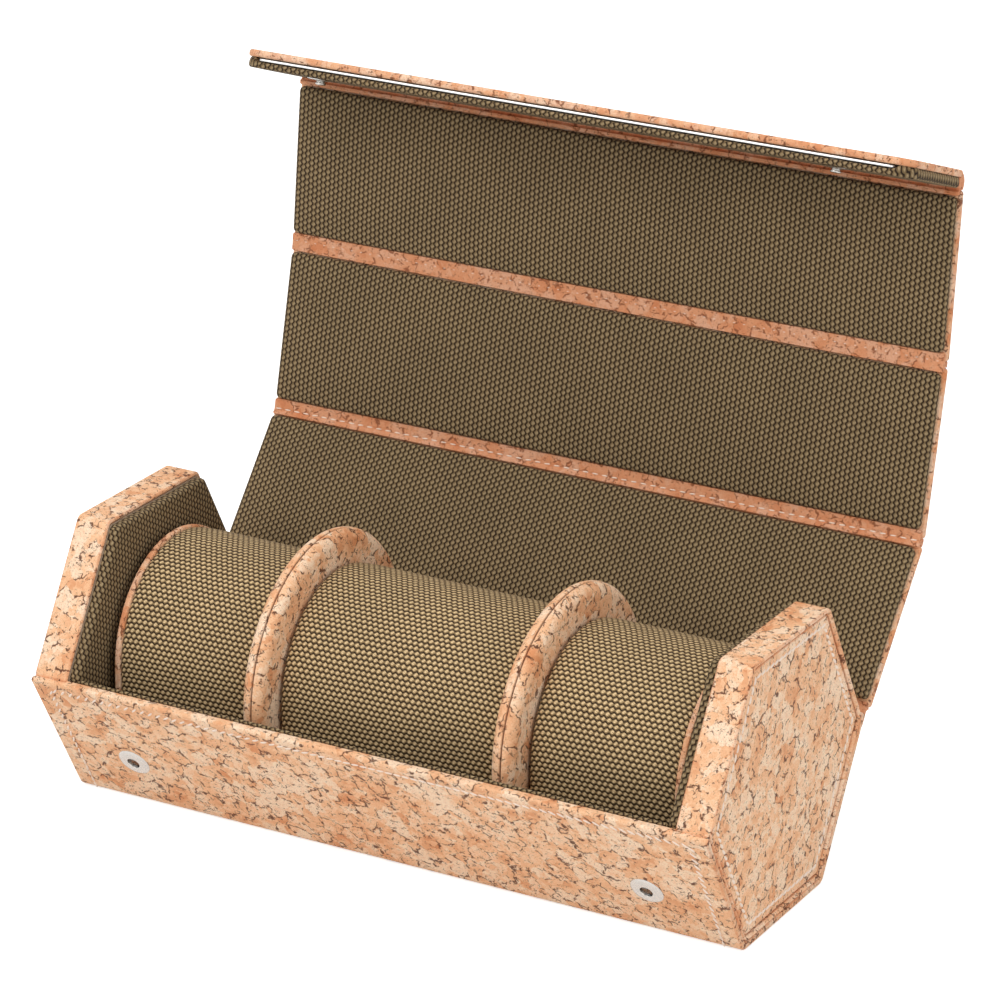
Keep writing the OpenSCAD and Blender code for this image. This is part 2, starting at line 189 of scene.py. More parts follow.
class CaseStage(bpy.types.PropertyGroup):
    """Camera, lamps and floor."""
    eye: bpy.props.FloatVectorProperty(
        name="Eye", description="Where the camera stands", subtype="TRANSLATION", size=3, unit="LENGTH",
        default=(0.70263, -1.23911, 0.67311))
    turn: number_property("Turn", "Camera's heading, from +Y", math.radians(-28.862), subtype="ANGLE")
    tilt: number_property(
        "Tilt", "Camera's pitch, below zero where it looks down", math.radians(-21.275), subtype="ANGLE")
    roll: number_property("Roll", "Camera's roll", math.radians(0.674), subtype="ANGLE")
    lens: number_property("Lens", "Focal length on a 36 mm sensor", 170.59, unit="CAMERA")
    key: number_property("Key", "Power of the front lamp", 25.0, unit="POWER")
    top: number_property("Top", "Power of the overhead lamp", 17.0, unit="POWER")
    fill: number_property("Fill", "Power of the side lamp", 10.0, unit="POWER")
    sky: number_property("Sky", "Strength of the light from all round", 0.48, subtype="FACTOR", min=0, max=1)


PROPERTY_GROUPS = {
    "case_cork": CaseCork,
    "case_canvas": CaseCanvas,
    "case_stitching": CaseStitching,
    "case_metal": CaseMetal,
    "case_stage": CaseStage,
}


# ---- outlines: each gives a loop of [a, b] points, drawn in by inset ----

def arc(centre_a, centre_b, radius, start, end, steps):
    """Points of an arc, both ends included, angles in degrees."""
    points = []
    for step in range(steps + 1):
        angle = math.radians(start + (end - start) * step / steps)
        points.append((centre_a + radius * math.cos(angle), centre_b + radius * math.sin(angle)))
    return points


def between(first, last, count):
    """Points that part a line into this many lengths, neither end included."""
    return [tuple(a + (b - a) * i / count for a, b in zip(first, last)) for i in range(1, count)]


def along_line(first, last, step):
    """Points between two ends, neither included, about step apart."""
    return between(first, last, max(int(math.dist(first, last) / step), 1))


def along_x(first, last, step):
    """Numbers between two others, about step apart."""
    return [x for x, in along_line((first,), (last,), step)]


def round_rectangle(half_a, low_b, high_b, radius, low_radius=None, steps=6, long_step=4 * MM):
    """Outline of a rectangle with rounded corners; low_radius rounds the two corners at low_b."""
    def outline(inset):
        r_high = max(radius - inset, 0.1 * MM)
        r_low = max((radius if low_radius is None else low_radius) - inset, 0.1 * MM)
        a, low, high = half_a - inset, low_b + inset, high_b - inset
        corners = (arc(a - r_low, low + r_low, r_low, -90, 0, steps),
                   arc(a - r_high, high - r_high, r_high, 0, 90, steps),
                   arc(r_high - a, high - r_high, r_high, 90, 180, steps),
                   arc(r_low - a, low + r_low, r_low, 180, 270, steps))
        points = []
        for index, corner in enumerate(corners):
            after = corners[(index + 1) % 4][0]
            count = int((high_b - low_b if index % 2 == 0 else 2 * half_a) / long_step)
            points += corner + between(corner[-1], after, count)
        return points
    return outline


def hexagon_corner(radius, rounding, turn, steps=8):
    """Rounded corner of a hexagon around the case's middle, in the corner's direction."""
    reach = (radius - rounding) * 2 / ROOT3
    angle = math.radians(turn)
    return arc(reach * math.cos(angle), CENTRE_Z + reach * math.sin(angle), rounding, turn - 30, turn + 30, steps)


def hexagon(flat_r, radius):
    """Outline of a hexagon with corners on the first axis, its corners rounded, around the case's middle."""
    def outline(inset):
        rounding = max(radius - inset, 0.15 * MM)
        return [point for turn in range(0, 360, 60) for point in hexagon_corner(flat_r - inset, rounding, turn, 6)]
    return outline


def upright_oval(radius, low_b, high_b, flat_half, steps=28):
    """Upright oval with flat sides and a flat foot, from the foot's left end round to its right end."""
    depth = radius - math.sqrt(radius ** 2 - flat_half ** 2)
    foot_angle = math.degrees(math.asin(flat_half / radius))

    def outline(inset):
        r = radius - inset
        low = low_b - depth + radius
        high = high_b - radius
        side = [(-r, low + (high - low) * part / 4) for part in (1, 2, 3)]
        points = (arc(0, low, r, 270 - foot_angle, 180, steps // 2) + side
                  + arc(0, high, r, 180, 0, steps)
                  + [(-a, b) for a, b in reversed(side)]
                  + arc(0, low, r, 0, foot_angle - 90, steps // 2))
        foot = low_b + inset
        return [(a, max(b, foot)) for a, b in points]
    return outline


# ---- profiles: lists of [inset, height, edge wear] from the underside to the top ----

FLAT_MARGIN = 0.6 * MM


def rounded_plate(low, high, radius, steps=4, low_radius=None, side=1.0):
    """Plate with rounded edges on both faces; side is the wear of its narrow side."""
    under = radius if low_radius is None else low_radius
    turns = [math.pi / 2 * step / steps for step in range(steps + 1)]
    profile = [(under + FLAT_MARGIN, low, 0)]
    for t in turns:
        worn = max(math.sin(2 * t), side * math.sin(t))
        profile.append((under * (1 - math.sin(t)), low + under * (1 - math.cos(t)), worn))
    for t in turns:
        worn = max(math.sin(2 * t), side * math.cos(t))
        profile.append((radius * (1 - math.cos(t)), high - radius * (1 - math.sin(t)), worn))
    return profile + [(radius + FLAT_MARGIN, high, 0)]


def padded_plate(low, high, radius, crown, swell, tuck=0.3 * MM, steps=5):
    """Pad whose rounded edge rises to a crown over the distance swell."""
    shoulder = high - crown
    profile = [(radius, low, 0), (tuck, low, 0), (tuck * 0.4, low + (shoulder - radius - low) * 0.5, 0)]
    for step in range(steps + 1):
        angle = math.pi / 2 * step / steps
        profile.append((radius * (1 - math.cos(angle)), shoulder - radius * (1 - math.sin(angle)), 0))
    for step in range(1, steps + 1):
        part = step / steps
        profile.append((radius + swell * part, shoulder + crown * math.sin(math.pi / 2 * part), 0))
    return profile + [(radius + swell + FLAT_MARGIN, high, 0)]


# ---- meshes ----

def placed(name, data):
    """Object in the scene that holds this data."""
    piece = bpy.data.objects.new(name, data)
    bpy.context.scene.collection.objects.link(piece)
    return piece


def baked(piece, modifier):
    """Give a piece the mesh that its modifier makes, and take the modifier off."""
    bpy.context.view_layer.update()
    evaluated = piece.evaluated_get(bpy.context.evaluated_depsgraph_get())
    mesh = bpy.data.meshes.new_from_object(evaluated)
    piece.modifiers.remove(modifier)
    piece.data = mesh
    return mesh


def finish_mesh(name, points, faces, flats, wear_and_shade, material):
    """Smooth object; its flat cloth places are a UV map, its rest places and edge wear are attributes, an edge
    value below zero being painted seam shade.
    """
    volume = sum(points[face[0]].dot(points[face[i]].cross(points[face[i + 1]]))
                 for face in faces for i in range(1, len(face) - 1))
    if volume < 0:
        turned, start = [], 0
        for face in faces:
            turned += reversed(flats[start:start + len(face)])
            start += len(face)
        flats = turned
        faces = [tuple(reversed(face)) for face in faces]
    mesh = bpy.data.meshes.new(name)
    mesh.from_pydata([tuple(p) for p in points], [], faces)
    layer = mesh.uv_layers.new(name="flat")
    for loop, flat in zip(layer.data, flats):
        loop.uv = flat
    rest = mesh.attributes.new("rest", "FLOAT_VECTOR", "POINT")
    rest.data.foreach_set("vector", [c for p in points for c in p])
    edge = mesh.attributes.new("edge", "FLOAT", "POINT")
    edge.data.foreach_set("value", wear_and_shade)
    mesh.shade_smooth()
    mesh.set_sharp_from_angle(angle=math.radians(40))
    mesh.materials.append(material)
    return placed(name, mesh)


def joined(name, pieces):
    """One object of several."""
    first = pieces[0]
    with bpy.context.temp_override(active_object=first, selected_editable_objects=pieces, selected_objects=pieces):
        bpy.ops.object.join()
    first.name = first.data.name = name
    return first


def loft(name, rings, flats, wear_and_shade, material, open_seam=False, closed=False):
    """Mesh through rings of equally many points; with open_seam a flat ring has one point more.

    Both ends are shut, or where closed the last ring is joined to the first.
    """
    count, total = len(rings[0]), len(rings)
    points = [p for ring in rings for p in ring]
    values = [w for ring, w in zip(rings, wear_and_shade) for _ in ring]
    faces, corners = [], []
    for k in range(total if closed else total - 1):
        n = (k + 1) % total
        for i in range(count):
            j = (i + 1) % count
            f = i + 1 if open_seam else j
            faces.append((k * count + i, k * count + j, n * count + j, n * count + i))
            corners += [flats[k][i], flats[k][f], flats[n][f], flats[n][i]]
    if not closed:
        last = (total - 1) * count
        faces += [tuple(reversed(range(count))), tuple(range(last, last + count))]
        corners += flats[0][:count][::-1] + flats[-1][:count]
    return finish_mesh(name, points, faces, corners, values, material)


def bare_loft(name, rings, wear_and_shade, material, closed=False):
    """Loft whose material doesn't read flat cloth places."""
    return loft(name, rings, [[(0.0, 0.0)] * len(ring) for ring in rings], wear_and_shade, material, closed=closed)


def plate(name, outline, profile, lift, material):
    """Plate with this outline and profile. lift turns [a, b, height] into a point of the case."""
    travel = [profile[-1][0]]
    for inner, outer in zip(reversed(profile[1:]), reversed(profile[:-1])):
        travel.append(travel[-1] - math.hypot(inner[0] - outer[0], inner[1] - outer[1]))
    travel.reverse()
    rings = [[lift(a, b, height) for a, b in outline(inset)] for inset, height, _ in profile]
    flats = [outline(inset) for inset in travel]
    return loft(name, rings, flats, [w for _, _, w in profile], material)


def on_panel(place):
    """Lift onto a wall or panel."""
    return lambda a, b, height: place @ Vector((a, b, height))


def on_end(side):
    """Lift onto an end of the case; side is 1 or -1, the height runs outward, the outline turns with it."""
    return lambda a, b, height: Vector((side * height, side * a, b))


def tube_along_x(name, stations, material, seam_at_foot=True):
    """Closed form along x. A station is [x, loop, edge wear]; its flat places are x and the way round the loop."""
    rings, flats, wear_and_shade = [], [], []
    travel = stations[0][0]
    for k, (x, loop, worn) in enumerate(stations):
        if k:
            before = stations[k - 1]
            travel += math.hypot(x - before[0], math.dist(loop[0], before[1][0]))
        around = [0.0]
        for i, point in enumerate(loop):
            around.append(around[-1] + math.dist(point, loop[(i + 1) % len(loop)]))
        rings.append([Vector((x, a, b)) for a, b in loop])
        flats.append([(travel, length - around[-1] / 2) for length in around])
        wear_and_shade.append(worn)
    return loft(name, rings, flats, wear_and_shade, material, open_seam=seam_at_foot)


def lathe(name, profile, centres, material, steps=40):
    """Turned form round z, one copy at each place; it is hollow where the profile comes back to its start."""
    closed = profile[0] == profile[-1]
    rows = profile[:-1] if closed else profile
    circle = [(math.cos(math.tau * i / steps), math.sin(math.tau * i / steps)) for i in range(steps)]
    return joined(name, [
        bare_loft(name, [[place @ Vector((r * a, r * b, height)) for a, b in circle] for r, height in rows],
                  [0.0] * len(rows), material, closed) for place in centres])


# ---- shader helpers ----

class Nodes:
    """Short calls for building a node tree."""

    def __init__(self, tree):
        self.tree = tree

    def add(self, kind, values=None, **settings):
        """Node with its settings, its sockets fed with these values."""
        node = self.tree.nodes.new(kind)
        for key, value in settings.items():
            setattr(node, key, value)
        return self.fill(node, values or {})

    def fill(self, node, values):
        """Feed a node's sockets, given by name or number."""
        for key, value in values.items():
            self.feed(value, node.inputs[key])
        return node

    def feed(self, value, socket):
        """Link or set a socket."""
        if isinstance(value, bpy.types.NodeSocket):
            self.tree.links.new(value, socket)
        else:
            socket.default_value = value

    def math(self, operation, *values, clamp=False):
        """Math node; the result's socket comes back."""
        return self.add("ShaderNodeMath", dict(enumerate(values)), operation=operation, use_clamp=clamp).outputs[0]

    def chain(self, operation, first, *others):
        """Math nodes that take in one value after the other."""
        for value in others:
            first = self.math(operation, first, value)
        return first

    def plus(self, *values):
        """Sum."""
        return self.chain("ADD", *values)

    def minus(self, *values):
        """First value less the others."""
        return self.chain("SUBTRACT", *values)

    def times(self, *values):
        """Product."""
        return self.chain("MULTIPLY", *values)

    def largest(self, *values):
        """Largest of the values."""
        return self.chain("MAXIMUM", *values)

    def mix(self, factor, first, second, blend="MIX"):
        """Mix of two colours."""
        node = self.add("ShaderNodeMix", {"Factor": factor, "A": first, "B": second},
                        data_type="RGBA", blend_type=blend, clamp_factor=True)
        return node.outputs["Result"]

    def span(self, value, low, high, to_low=0.0, to_high=1.0, smooth=True):
        """Value mapped from one range to another and held there."""
        node = self.add("ShaderNodeMapRange", dict(enumerate((value, low, high, to_low, to_high))),
                        interpolation_type="SMOOTHSTEP" if smooth else "LINEAR")
        return node.outputs[0]

    def noise(self, place, scale, detail=3.0, roughness=0.55, distortion=0.0, output="Fac"):
        """Noise texture; one of its outputs comes back."""
        values = {"Vector": place, "Scale": scale, "Detail": detail, "Roughness": roughness,
                  "Distortion": distortion}
        return self.add("ShaderNodeTexNoise", values).outputs[output]

    def scaled(self, place, scale):
        """Vector stretched by a scale on each axis."""
        return self.add("ShaderNodeMapping", {"Vector": place, "Scale": scale}).outputs[0]

    def split(self, vector):
        """A vector's three parts."""
        return self.add("ShaderNodeSeparateXYZ", {0: vector}).outputs

    def directly_seen(self):
        """1 for what the camera sees itself, in a reflection or through glass; 0 for lighting."""
        path = self.add("ShaderNodeLightPath").outputs
        return self.largest(path["Is Camera Ray"], path["Is Glossy Ray"], path["Is Transmission Ray"])


def new_group(name, inputs, outputs):
    """Shader node group with named sockets; its helper, its inputs and its output node come back."""
    tree = bpy.data.node_groups.new(name, "ShaderNodeTree")
    for in_out, sockets in (("INPUT", inputs), ("OUTPUT", outputs)):
        for label, kind in sockets.items():
            tree.interface.new_socket(name=label, in_out=in_out, socket_type=kind)
    nodes = Nodes(tree)
    return nodes, nodes.add("NodeGroupInput").outputs, nodes.add("NodeGroupOutput")


FLOAT, COLOUR, VECTOR = "NodeSocketFloat", "NodeSocketColor", "NodeSocketVector"


def weave_group():
    """Plain weave with thick warp threads: a slanted painted highlight on each crown, painted shade in the dips
    and the gaps, with loose fibres.
    """
    nodes, given, out = new_group(
        "canvas_weave",
        {"Flat": VECTOR, "Warp Pitch": FLOAT, "Weft Pitch": FLOAT, "Thread": COLOUR, "Shade": COLOUR,
         "Gap": COLOUR},
        {"Color": COLOUR, "Height": FLOAT})
    calc, plus, minus, times, span = nodes.math, nodes.plus, nodes.minus, nodes.times, nodes.span
    place = nodes.split(given["Flat"])
    drift = nodes.split(nodes.noise(given["Flat"], 260.0, 2.0, output="Color"))
    u = plus(calc("DIVIDE", place[0], given["Warp Pitch"]), times(minus(drift[0], 0.5), 0.35))
    v = plus(calc("DIVIDE", place[1], given["Weft Pitch"]), times(minus(drift[1], 0.5), 0.45))
    border = calc("FLOOR", plus(u, 0.5))
    zigzag = times(calc("COSINE", times(plus(minus(v, border), 0.5), math.pi)), 0.15)
    beyond = minus(u, border, zigzag)
    thread = plus(minus(border, 1.0), calc("GREATER_THAN", beyond, 0.0))
    along = minus(v, 0.5, thread)
    swell = calc("POWER", calc("ABSOLUTE", calc("COSINE", times(along, math.pi / 2))), 0.6)
    height = times(span(calc("ABSOLUTE", beyond), 0.0, 0.34), calc("MULTIPLY_ADD", swell, 0.7, 0.3))
    # Painted highlight: a bright tick leaning across the top of each thread's crown, mixed from the Shade colour
    # to the Thread colour.
    side = minus(u, zigzag, thread, 0.5)
    along = minus(along, times(calc("ROUND", times(along, 0.5)), 2.0))
    off_highlight = calc("ABSOLUTE", minus(side, times(along, 0.2), 0.07))
    crown = times(span(off_highlight, 0.24, 0.03), span(calc("ABSOLUTE", along), 0.9, 0.25))
    tone = nodes.mix(crown, given["Shade"], given["Thread"])
    # Painted shade: the low places between the threads take the Gap colour.
    tone = nodes.mix(span(height, 0.1, 0.46), given["Gap"], tone)
    fibre = nodes.noise(nodes.scaled(given["Flat"], (5200.0, 1500.0, 1.0)), 1.0, 3.0, 0.6)
    blotch = nodes.noise(given["Flat"], 38.0, 2.0)
    bright = plus(span(fibre, 0.25, 0.75, 0.86, 1.12), span(blotch, 0.3, 0.7, -0.05, 0.05))
    worn = nodes.add("ShaderNodeHueSaturation", {"Value": bright, "Color": tone})
    nodes.fill(out, {"Color": worn.outputs[0], "Height": calc("MULTIPLY_ADD", fibre, 0.14, height)})
    return nodes.tree


def cork_group():
    """Pressed cork: grains of uneven tone, thin broken cracks, dark flecks and short strokes, folds darker partly
    as painted shade, painted shade along seams.
    """
    nodes, given, out = new_group(
        "pressed_cork",
        {"Place": VECTOR, "Grain": FLOAT, "Edge": FLOAT, "Pale": COLOUR, "Body": COLOUR, "Warm": COLOUR,
         "Fold": COLOUR, "Crack": COLOUR, "Fold Amount": FLOAT},
        {"Color": COLOUR, "Height": FLOAT, "Rough": FLOAT})
    calc, times, span, noise, mix = nodes.math, nodes.times, nodes.span, nodes.noise, nodes.mix
    grains = nodes.add("ShaderNodeVectorMath", {0: given["Place"], "Scale": calc("DIVIDE", 1.0, given["Grain"])},
                       operation="SCALE").outputs[0]
    warp = noise(grains, 0.9, 3.0, 0.6, output="Color")
    place = nodes.add("ShaderNodeVectorMath", {0: warp, 1: (1.3, 1.3, 1.3), 2: grains},
                      operation="MULTIPLY_ADD").outputs[0]

    def cell_tone(scale):
        cell = nodes.add("ShaderNodeTexVoronoi", {"Vector": place, "Scale": scale}, feature="F1")
        return nodes.add("ShaderNodeSeparateColor", {0: cell.outputs["Color"]}).outputs[0]

    def cell_line(scale, width, breaks):
        line = nodes.add("ShaderNodeTexVoronoi", {"Vector": place, "Scale": scale}, feature="DISTANCE_TO_EDGE")
        return times(span(line.outputs["Distance"], width, 0.01), breaks)

    level = calc("MULTIPLY_ADD", cell_tone(1.9), 0.2,
                 calc("MULTIPLY_ADD", cell_tone(0.75), 0.3, times(noise(grains, 0.35, 3.0), 0.8)))
    colour = mix(span(level, 0.58, 0.84), given["Body"], given["Pale"])
    colour = mix(span(level, 0.62, 0.3), colour, given["Warm"])
    fine = noise(grains, 9.0, 4.0, 0.65)
    colour = mix(span(fine, 0.42, 0.7, 0.0, 0.55), colour, given["Warm"])
    breaks = noise(grains, 1.6, 2.0)
    crack = cell_line(0.75, 0.075, span(breaks, 0.49, 0.56))
    thin = cell_line(1.9, 0.07, span(noise(grains, 2.7, 2.0), 0.54, 0.63))
    stroke = noise(nodes.scaled(place, (1.9, 5.0, 3.2)), 1.0, 3.0, 0.6, 0.8)
    stroke = times(span(stroke, 0.62, 0.665), span(noise(grains, 0.7, 2.0), 0.44, 0.53))
    fleck = times(span(noise(place, 6.0, 2.0, 0.5), 0.665, 0.71), span(breaks, 0.45, 0.6))
    dark = nodes.largest(crack, times(thin, 0.8), stroke, fleck)
    colour = mix(times(dark, 0.94), colour, given["Crack"])
    worn = times(nodes.largest(given["Edge"], 0.0), span(noise(grains, 1.4, 3.0), 0.3, 0.7, 0.25, 0.75))
    # Rubbed edges take the fold colour; the fold strips take it all over, partly as painted shade.
    lifted = mix(0.55, mix(0.85, colour, given["Fold"], "MULTIPLY"), given["Fold"])
    colour = mix(times(nodes.largest(worn, given["Fold Amount"]), 0.75), colour, lifted)
    # Painted shade: an edge value below zero darkens the cork towards the crack colour, along the divider's seam
    # groove.
    seam_shade = calc("MULTIPLY", given["Edge"], -1.0, clamp=True)
    relief = calc("MULTIPLY_ADD", fine, 0.25, times(level, 0.3))
    nodes.fill(out, {"Color": mix(times(seam_shade, 0.8), colour, given["Crack"]),
                     "Height": nodes.minus(relief, times(dark, 0.8)), "Rough": span(fine, 0.3, 0.7, 0.62, 0.8)})
    return nodes.tree


def new_material(name):
    """Material with an empty Principled shader; its helper and shader come back with it."""
    material = bpy.data.materials.new(name)
    material.use_nodes = True
    nodes = Nodes(material.node_tree)
    shader = next(n for n in material.node_tree.nodes if n.type == "BSDF_PRINCIPLED")
    return material, nodes, shader


def bump(nodes, height, strength, distance, shader):
    """Bump node between a height and the shader's normal."""
    node = nodes.add("ShaderNodeBump", {"Strength": strength, "Distance": distance, "Height": height})
    nodes.fill(shader, {"Normal": node.outputs[0]})


def cork_material(name, fold_amount=0.0, grain_scale=1.0):
    """Cork on the piece's own rest places; the fold amount darkens all of it towards the fold colour, partly as
    painted shade.
    """
    cork = bpy.context.scene.case_cork
    material, nodes, shader = new_material(name)
    values = {label: (*getattr(cork, label.lower()), 1.0) for label in ("Pale", "Body", "Warm", "Fold", "Crack")}
    values["Place"] = nodes.add("ShaderNodeAttribute", attribute_name="rest").outputs["Vector"]
    values["Edge"] = nodes.add("ShaderNodeAttribute", attribute_name="edge").outputs["Fac"]
    values["Grain"] = cork.grain * grain_scale
    values["Fold Amount"] = fold_amount
    tree = bpy.data.node_groups.get("pressed_cork") or cork_group()
    group = nodes.add("ShaderNodeGroup", values, node_tree=tree).outputs
    nodes.fill(shader, {"Base Color": group["Color"], "Roughness": group["Rough"], "Specular IOR Level": 0.35})
    bump(nodes, group["Height"], 0.55, 0.25 * MM, shader)
    return material


def canvas_material(name, turned=False, highlight_gain=1.0, tone=1.0):
    """Canvas on the piece's flat places; turned canvas has its warp along the case."""
    canvas = bpy.context.scene.case_canvas
    material, nodes, shader = new_material(name)
    flat = nodes.add("ShaderNodeUVMap", uv_map="flat").outputs[0]
    if turned:
        parts = nodes.split(flat)
        flat = nodes.add("ShaderNodeCombineXYZ", {0: parts[1], 1: parts[0]}).outputs[0]
    values = {"Flat": flat, "Warp Pitch": canvas.warp, "Weft Pitch": canvas.weft}
    # The first gain brightens the painted highlight on the crowns, the second scales the painted shade in the dips
    # and gaps.
    for label, gain in (("Thread", highlight_gain), ("Shade", tone), ("Gap", tone)):
        values[label] = (*(min(part * gain, 1.0) for part in getattr(canvas, label.lower())), 1.0)
    tree = bpy.data.node_groups.get("canvas_weave") or weave_group()
    group = nodes.add("ShaderNodeGroup", values, node_tree=tree).outputs
    nodes.fill(shader, {"Base Color": group["Color"], "Roughness": 0.82, "Specular IOR Level": 0.25,
                        "Sheen Weight": 0.02})
    bump(nodes, group["Height"], 0.9, 0.45 * MM, shader)
    return material


def grainy_material(name, colour, scale, depth, rough, metal=0.0, stretch=(1.0, 1.0, 1.0), contrast=0.12):
    """Even material with fine grain in its tone, gloss and surface."""
    material, nodes, shader = new_material(name)
    place = nodes.scaled(nodes.add("ShaderNodeTexCoord").outputs["Object"], stretch)
    fine = nodes.noise(place, scale, 4.0, 0.6)
    wide = nodes.noise(place, scale / 12, 2.0)
    dim = tuple(c * (1 - contrast) for c in colour)
    lit = tuple(min(c * (1 + contrast), 1.0) for c in colour)
    tone = nodes.mix(nodes.math("MULTIPLY_ADD", wide, 0.5, nodes.times(fine, 0.5)), (*dim, 1), (*lit, 1))
    nodes.fill(shader, {"Base Color": tone, "Metallic": metal,
                        "Roughness": nodes.span(fine, 0.3, 0.7, rough * 0.85, rough * 1.15)})
    bump(nodes, fine, 0.3, depth, shader)
    return material


def material_of(name):
    """A material by name, made the first time it is asked for."""
    found = bpy.data.materials.get(name)
    if found:
        return found
    metal, sewing = bpy.context.scene.case_metal, bpy.context.scene.case_stitching
    maker, *values = {
        "cork_skin": (cork_material,),
        # Fold strips: cork darker where it is folded, with painted shade.
        "cork_fold": (cork_material, 0.85, 0.9),
        "lining_canvas": (canvas_material,),
        # The pillows' canvas carries a brighter painted highlight and lighter painted shade than the lining's.
        "pillow_canvas": (canvas_material, True, 2.15, 1.45),
        "sewing_thread": (grainy_material, sewing.colour, 2600.0, 0.05 * MM, 0.7),
        "satin_steel": (grainy_material, metal.steel, 900.0, 0.01 * MM, 0.28, 1.0, (1.0, 1.0, 1.0), 0.05),
        "bar_steel": (grainy_material, metal.bar, 700.0, 0.01 * MM, 0.25, 1.0, (0.05, 1.0, 1.0), 0.05),
        "spring_steel": (grainy_material, (0.16, 0.155, 0.15), 900.0, 0.01 * MM, 0.4, 1.0),
        "greyboard": (grainy_material, (0.2, 0.17, 0.13), 1500.0, 0.05 * MM, 0.85),
        "fibreboard": (grainy_material, (0.25, 0.15, 0.08), 1200.0, 0.05 * MM, 0.8),
    }[name]
    return maker(name, *values)


# ---- stitches, by one Geometry Nodes tree ----

def stitch_tree():
    """Geometry nodes that lay thread stitches along a line whose points know the surface's direction."""
    tree = bpy.data.node_groups.new("sewn_stitches", "GeometryNodeTree")
    sockets = tree.interface
    sockets.new_socket(name="Geometry", in_out="INPUT", socket_type="NodeSocketGeometry")
    kinds = {**dict.fromkeys(("Pitch", "Length", "Width", "Thickness", "Slant"), "NodeSocketFloat"),
             "Seed": "NodeSocketInt", "Thread": "NodeSocketMaterial"}
    for label, kind in kinds.items():
        sockets.new_socket(name=label, in_out="INPUT", socket_type=kind)
    sockets.new_socket(name="Geometry", in_out="OUTPUT", socket_type="NodeSocketGeometry")
    nodes = Nodes(tree)
    given = nodes.add("NodeGroupInput").outputs
    line = nodes.add("GeometryNodeMeshToCurve", {0: given["Geometry"]}).outputs[0]
    spread = nodes.add("GeometryNodeCurveToPoints", {"Curve": line, "Length": given["Pitch"]},
                       mode="LENGTH").outputs
    surface = nodes.add("GeometryNodeInputNamedAttribute", {"Name": "surface"},
                        data_type="FLOAT_VECTOR").outputs[0]
    along = nodes.add("FunctionNodeAlignRotationToVector", {"Vector": spread["Tangent"]}, axis="X").outputs[0]
    upright = nodes.add("FunctionNodeAlignRotationToVector", {"Rotation": along, "Vector": surface},
                        axis="Z", pivot_axis="X").outputs[0]
    chance = nodes.add("FunctionNodeRandomValue", {2: -0.06, 3: 0.06, "Seed": given["Seed"]}, data_type="FLOAT")
    spin = nodes.add("FunctionNodeAxisAngleToRotation",
                     {"Axis": (0.0, 0.0, 1.0), "Angle": nodes.plus(chance.outputs[1], given["Slant"])}).outputs[0]
    facing = nodes.add("FunctionNodeRotateRotation", {0: upright, 1: spin}, rotation_space="LOCAL").outputs[0]
    bead = nodes.add("GeometryNodeMeshUVSphere", {"Segments": 10, "Rings": 6, "Radius": 0.5}).outputs[0]
    size = nodes.add("ShaderNodeCombineXYZ",
                     {0: given["Width"], 1: given["Thickness"], 2: given["Length"]}).outputs[0]
    upended = nodes.add("GeometryNodeTransform", {"Geometry": bead, "Scale": size}).outputs[0]
    laid = nodes.add("GeometryNodeTransform",
                     {"Geometry": upended, "Rotation": (math.pi / 2, 0.0, math.pi / 2)}).outputs[0]
    row = nodes.add("GeometryNodeInstanceOnPoints",
                    {"Points": spread["Points"], "Instance": laid, "Rotation": facing}).outputs[0]
    real = nodes.add("GeometryNodeRealizeInstances", {0: row}).outputs[0]
    smooth = nodes.add("GeometryNodeSetShadeSmooth", {0: real}).outputs[0]
    sewn = nodes.add("GeometryNodeSetMaterial", {0: smooth, "Material": given["Thread"]}).outputs[0]
    nodes.add("NodeGroupOutput", {0: sewn})
    return tree


def sew(name, lines, pitch=None, slant=0.12, width=None, length=None):
    """Row of stitches along lines of [point, surface direction], a line closed where its third entry is true."""
    sewing = bpy.context.scene.case_stitching
    mesh = bpy.data.meshes.new(name)
    points, edges, ups = [], [], []
    for line, closed in lines:
        start = len(points)
        points += [tuple(p) for p, _ in line]
        ups += [c for _, up in line for c in up]
        edges += [(start + i, start + i + 1) for i in range(len(line) - 1)]
        if closed:
            edges.append((start + len(line) - 1, start))
    mesh.from_pydata(points, edges, [])
    mesh.attributes.new("surface", "FLOAT_VECTOR", "POINT").data.foreach_set("vector", ups)
    piece = placed(name, mesh)
    tree = bpy.data.node_groups.get("sewn_stitches") or stitch_tree()
    modifier = piece.modifiers.new("stitches", "NODES")
    modifier.node_group = tree
    values = {
        "Pitch": pitch or sewing.pitch,
        "Length": length or sewing.length,
        "Width": width or sewing.width,
        "Thickness": (width or sewing.width) * 0.8,
        "Slant": slant,
        "Seed": 7,
        "Thread": material_of("sewing_thread"),
    }
    for item in tree.interface.items_tree:
        if item.in_out == "INPUT" and item.name in values:
            modifier[item.identifier] = values[item.name]
    sewn = baked(piece, modifier)
    sewn.name = name
    if not sewn.polygons:
        raise RuntimeError(f"{name} has no stitches")
    return piece


def settle(piece, body, nodes=()):
    """Fix a finished piece to its body and the nodes that it stands for."""
    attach(piece, body)
    if nodes:
        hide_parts(*nodes)


# ---- tray ----

FOLD_R = 4.0 * MM
CORNER_R = 3.0 * MM
STITCH_DEPTH = 0.22 * MM
STITCH_SWELL = 1.1 * MM
WALL_HALF = SKIN_R / ROOT3


